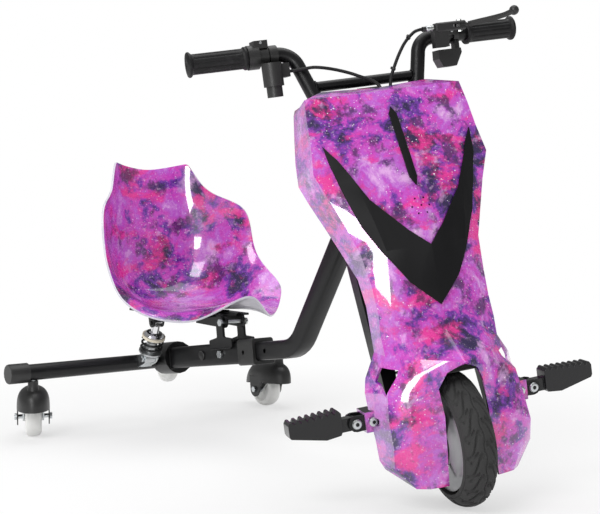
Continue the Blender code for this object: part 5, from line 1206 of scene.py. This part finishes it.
class KART_OT_casters(bpy.types.Operator):
    """Make the casters' hoods and wheels, and the roller"""
    bl_idname = "kart.casters"
    bl_label = "Casters and roller"

    HALF, MIDDLE, TAIL, DROP, RIM_Z, TOP_Z, WALL = 0.030, 0.024, 0.110, 0.013, 0.055, 0.0965, 0.002
    RINGS, STEPS = 18, 64
    CHEEK_X, CHEEK_RADIUS, CHEEK_Z = 0.0297, 0.016, 0.066
    RIGHT_TURN = radians(-24.7)
    ROLLER = (0.029, 0.0108, 0.011, 0.0043)
    WHEEL = (CASTER_RADIUS, 0.015, 0.0162, 0.0043)

    def dome(self):
        """An open dome with full shoulders whose rear runs down into a tail."""
        bm = bmesh.new()
        rows = []
        for i in range(1, self.RINGS + 1):
            lie = pi / 2 * i / self.RINGS
            row = []
            for angle in turns(self.STEPS):
                x, y = sin(lie) * cos(angle), sin(lie) * sin(angle)
                rear = max(y, 0)
                power = 3.0 - rear
                rise = (1 - min(hypot(x, y), 1) ** power) ** (1 / power)
                reach = self.TAIL - self.MIDDLE if y > 0 else self.MIDDLE + self.HALF
                fall = self.DROP * rear ** 2
                z = self.RIM_Z + rise * (self.TOP_Z - self.RIM_Z + fall) - fall
                row.append(bm.verts.new((x * self.HALF, y * reach + self.MIDDLE, z)))
            rows.append(row)
        crown = bm.verts.new((0, self.MIDDLE, self.TOP_Z))
        for j in range(self.STEPS):
            bm.faces.new((crown, rows[0][j], rows[0][(j + 1) % self.STEPS]))
        for high, low in zip(rows, rows[1:]):
            for j in range(self.STEPS):
                k = (j + 1) % self.STEPS
                bm.faces.new((high[j], low[j], low[k], high[k]))
        thing = show("dome", bm)
        modify(thing, "SOLIDIFY", thickness=self.WALL, offset=-1)
        baked(thing)
        shell = bmesh.new()
        shell.from_mesh(thing.data)
        bpy.data.objects.remove(thing)
        return shell

    def cheek(self, axle, way):
        """A flat side plate that comes down round the axle."""
        outline = []
        for i in range(25):
            angle = pi + pi * i / 24
            outline.append((axle.y + self.CHEEK_RADIUS * cos(angle),
                            axle.z + self.CHEEK_RADIUS * sin(angle)))
        outline += [(axle.y + 0.020, self.CHEEK_Z), (axle.y - 0.026, self.CHEEK_Z)]
        cheek = bmesh.new()
        face = cheek.faces.new([cheek.verts.new((way * self.CHEEK_X, y, z)) for y, z in outline])
        pulled = bmesh.ops.extrude_face_region(cheek, geom=[face])["geom"]
        moved = [part for part in pulled if isinstance(part, bmesh.types.BMVert)]
        bmesh.ops.translate(cheek, vec=(-way * self.WALL, 0, 0), verts=moved)
        bmesh.ops.recalc_face_normals(cheek, faces=cheek.faces)
        return cheek

    def hood(self, axle):
        """The dome, a neck on its top and a cheek on each side."""
        neck = lathe([(0.0053, 0.0905), (0.0115, 0.0905), (0.0098, 0.0965), (0.0094, 0.100),
                      (0.0094, 0.1105), (0.0053, 0.1105)], 48, True)
        return join(self.dome(), neck, self.cheek(axle, 1), self.cheek(axle, -1))

    def wheel(self, radius, half, hub, bore):
        """A moulded wheel with a crowned tread, a dished web and a hub."""
        side = [(bore, hub), (bore + 0.0040, hub), (bore + 0.0052, hub - 0.0010),
                (bore + 0.0066, half * 0.74), (radius * 0.60, half * 0.72),
                (radius * 0.655, half * 0.80), (radius * 0.69, half * 0.98),
                (radius * 0.74, half), (radius * 0.80, half * 0.97)]
        crown = []
        for i in range(13):
            angle = radians(78 - 156 * i / 12)
            crown.append((radius * (0.80 + 0.20 * cos(angle) ** 0.7),
                          half * 0.93 * sin(angle)))
        mirrored = [(out, -height) for out, height in reversed(side)]
        return lathe(side + crown + mirrored, 72, True)

    def execute(self, context):
        axle = Vector((0, CASTER_TRAIL, CASTER_RADIUS))
        for word, way in SIDES:
            turned = 0 if way > 0 else self.RIGHT_TURN
            stand = REAR @ Matrix.Translation((way * CASTER_X, CROSS_Y, 0))
            stand = stand @ Matrix.Rotation(turned, 4, "Z")
            settle(show("caster_cover_" + word, self.hood(axle), "black_plastic", 45, stand),
                   "caster_" + word, "caster_hood_" + word)
            settle(show("caster_tread_" + word, self.wheel(*self.WHEEL), "white_nylon", 40,
                        stand @ Matrix.Translation(axle) @ ACROSS),
                   "caster_roll_" + word, "caster_wheel_" + word)
        finished_copies("zinc_plate", caster_fork_left=0.0006, caster_fork_right=0.0006,
                        caster_axle_left=0.0005, caster_axle_right=0.0005)
        spot = Matrix.Translation(JOINTS["roller_spin"]["pos_m"]) @ ACROSS
        settle(show("roller_tread", self.wheel(*self.ROLLER), "white_nylon", 40, spot), "roller",
               "roller_wheel")
        return {"FINISHED"}


class KART_OT_shock(bpy.types.Operator):
    """Finish the shock absorber and wind its spring"""
    bl_idname = "kart.shock"
    bl_label = "Shock absorber"

    RADIUS, WIRE, TURNS, LOW, HIGH = 0.0193, 0.0022, 2.4, 0.0165, 0.0445
    STEPS_A_TURN = 40

    def coil(self):
        """The wire's middle line, with a short straight end at each side."""
        steps = int(self.TURNS * self.STEPS_A_TURN)
        rise = self.HIGH - self.LOW - 2 * self.WIRE
        points = []
        for i in range(steps + 1):
            angle = 2 * pi * self.TURNS * i / steps
            points.append(Vector((self.RADIUS * cos(angle), self.RADIUS * sin(angle),
                                  self.LOW + self.WIRE + rise * i / steps)))
        ends = []
        for end, other in ((0, 1), (-1, -2)):
            away = points[end] - points[other]
            away.z = 0
            ends.append(points[end] + away.normalized() * 2 * self.WIRE)
        return [ends[0], *points, ends[1]]

    def execute(self, context):
        foot = Vector(JOINTS["shock_swing"]["pos_m"])
        up = Vector(JOINTS["shock_slide"]["axis"])
        lean = Matrix.Translation(foot) @ Matrix.Rotation(atan2(-up.y, up.z), 4, "X")
        spring = show("coil_spring", pipe(self.coil(), self.WIRE), "black_coat", 60, lean)
        settle(spring, "shock_lower", "shock_spring")
        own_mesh(spring)
        finished_copies("cast_alloy", shock_body=0.0006)
        finished_copies("chrome", shock_shaft=0.0006)
        finished_copies("cream_plastic", spring_ring=0.0004)
        return {"FINISHED"}


class KART_OT_stage(bpy.types.Operator):
    """Set the floor, the studio lights and the camera"""
    bl_idname = "kart.stage"
    bl_label = "Stage"

    AZIMUTH, PITCH = radians(37.67), radians(2.565)
    EYE = Vector((-1.1772, -1.1634, 0.4306))
    LENS, SENSOR = 69.42, 36
    MIDDLE = (0, 0, 0.3)
    FLOOR_RADIUS, FLOOR_DROP, NEAR, FAR = 8, 0.0004, 0.55, 1.25
    CARD_POWER, TOP_SHARE = 12, 1.4

    def camera(self):
        """The camera that was fitted to the photo."""
        ahead = Vector((sin(self.AZIMUTH) * cos(self.PITCH),
                        cos(self.AZIMUTH) * cos(self.PITCH), -sin(self.PITCH)))
        right = Vector((cos(self.AZIMUTH), -sin(self.AZIMUTH), 0))
        data = bpy.data.cameras.new("camera")
        data.sensor_width = self.SENSOR
        data.lens = self.LENS
        eye = put("camera", data)
        turn = Matrix((right, right.cross(ahead), -ahead)).transposed().to_4x4()
        turn.translation = REAR @ self.EYE
        eye.matrix_world = turn
        bpy.context.scene.camera = eye

    def light(self, name, place, target, size, power, **seen):
        """A rectangular lamp; seen turns it off for some kinds of rays."""
        data = bpy.data.lights.new(name, "AREA")
        data.shape = "RECTANGLE"
        data.size, data.size_y = size
        data.energy = power
        lamp = put(name, data)
        lamp.location = place
        lamp.rotation_euler = (Vector(target) - Vector(place)).to_track_quat("-Z", "Y").to_euler()
        for key, value in seen.items():
            setattr(lamp, key, value)

    def floor(self, chosen):
        """A plain floor that turns to the white of the backdrop further out."""
        bm = bmesh.new()
        bmesh.ops.create_circle(bm, cap_ends=True, segments=96, radius=self.FLOOR_RADIUS)
        bmesh.ops.translate(bm, vec=(0, 0, -self.FLOOR_DROP), verts=bm.verts)
        ground = put("floor", mesh_from(bm, "floor"))
        look = Finish("floor", chosen.floor, 0.9)
        ground.data.materials.append(look.material)
        spot = look.add("ShaderNodeVectorMath", {"operation": "LENGTH"}, {0: look.place()})
        look.drive(roughness=0.8 + 0.15 * look.noise(40, 4, 0.6))
        glow = look.add("ShaderNodeEmission", None, {"Color": (1, 1, 1, 1), "Strength": 1.0})
        rays = look.add("ShaderNodeLightPath").outputs
        seen = look.field(rays["Is Camera Ray"]).do("MAXIMUM", rays["Is Glossy Ray"])
        far = look.field(spot.outputs["Value"]).ramp(self.NEAR, self.FAR)
        blend = look.add("ShaderNodeMixShader", None, {
            0: seen * (0.55 + 0.45 * far), 1: look.shader.outputs[0], 2: glow.outputs[0]})
        look.tree.links.new(blend.outputs[0], look.tree.nodes["Material Output"].inputs["Surface"])

    def backdrop(self):
        """A world that is white to the camera, and dimmer as a light and in reflections."""
        world = bpy.data.worlds.new("studio")
        bpy.context.scene.world = world
        world.use_nodes = True
        graph = Graph(world.node_tree)
        background = world.node_tree.nodes["Background"].inputs
        background["Color"].default_value = (1, 1, 1, 1)
        rays = graph.add("ShaderNodeLightPath").outputs
        direct = graph.field(rays["Is Camera Ray"]).do("MAXIMUM", rays["Is Transmission Ray"])
        strength = (0.48 - 0.20 * graph.field(rays["Is Glossy Ray"])).do("MAXIMUM", direct)
        graph.tree.links.new(strength.socket, background["Strength"])

    def execute(self, context):
        chosen = context.scene.kart_stage
        context.scene.view_settings.view_transform = "Standard"
        self.camera()
        self.floor(chosen)
        self.backdrop()
        self.light("key", (-2.2, -1.1, 2.2), (0, 0, 0.35), (1.4, 1.4), chosen.key)
        self.light("left_fill", (-2.3, 0.5, 0.9), self.MIDDLE, (0.9, 1.8), chosen.fill,
                   visible_glossy=False)
        self.light("gloss_card", (-2.05, -1.47, 0.61), (-0.11, -0.3, 0.45), (0.66, 0.36),
                   self.CARD_POWER, visible_diffuse=False)
        self.light("right_fill", (1.9, -1.5, 1.3), self.MIDDLE, (1.2, 1.4), chosen.fill,
                   visible_glossy=False)
        self.light("top", (0.3, 0.2, 2.5), self.MIDDLE, (2.0, 2.0), chosen.fill * self.TOP_SHARE)
        return {"FINISHED"}


class KART_PT_panel(bpy.types.Panel):
    bl_idname = "KART_PT_panel"
    bl_label = "Electric drift kart"
    bl_space_type = "VIEW_3D"
    bl_region_type = "UI"
    bl_category = "Kart"

    def draw(self, context):
        layout = self.layout
        for name in SETTINGS:
            box = layout.box()
            group = getattr(context.scene, name)
            for key in group.__annotations__:
                box.prop(group, key)
        for operator in OPERATORS:
            layout.operator(operator.bl_idname)


SETTINGS = {
    "kart_print": KART_PG_print,
    "kart_tyre": KART_PG_tyre,
    "kart_grips": KART_PG_grips,
    "kart_stage": KART_PG_stage,
}
OPERATORS = (
    KART_OT_finishes,
    KART_OT_stage,
    KART_OT_cowl,
    KART_OT_seat,
    KART_OT_front_wheel,
    KART_OT_handlebar,
    KART_OT_grips,
    KART_OT_cables,
    KART_OT_frame_tubes,
    KART_OT_footrests,
    KART_OT_casters,
    KART_OT_shock,
)


def register():
    for group in SETTINGS.values():
        bpy.utils.register_class(group)
    for made in (*OPERATORS, KART_PT_panel):
        bpy.utils.register_class(made)
    for name, group in SETTINGS.items():
        setattr(bpy.types.Scene, name, PointerProperty(type=group))


def unregister():
    for name in SETTINGS:
        delattr(bpy.types.Scene, name)
    for made in (KART_PT_panel, *reversed(OPERATORS)):
        bpy.utils.unregister_class(made)
    for group in SETTINGS.values():
        bpy.utils.unregister_class(group)


def main():
    register()
    for operator in OPERATORS:
        family, name = operator.bl_idname.split(".")
        getattr(getattr(bpy.ops, family), name)()


if __name__ == "__main__":
    main()
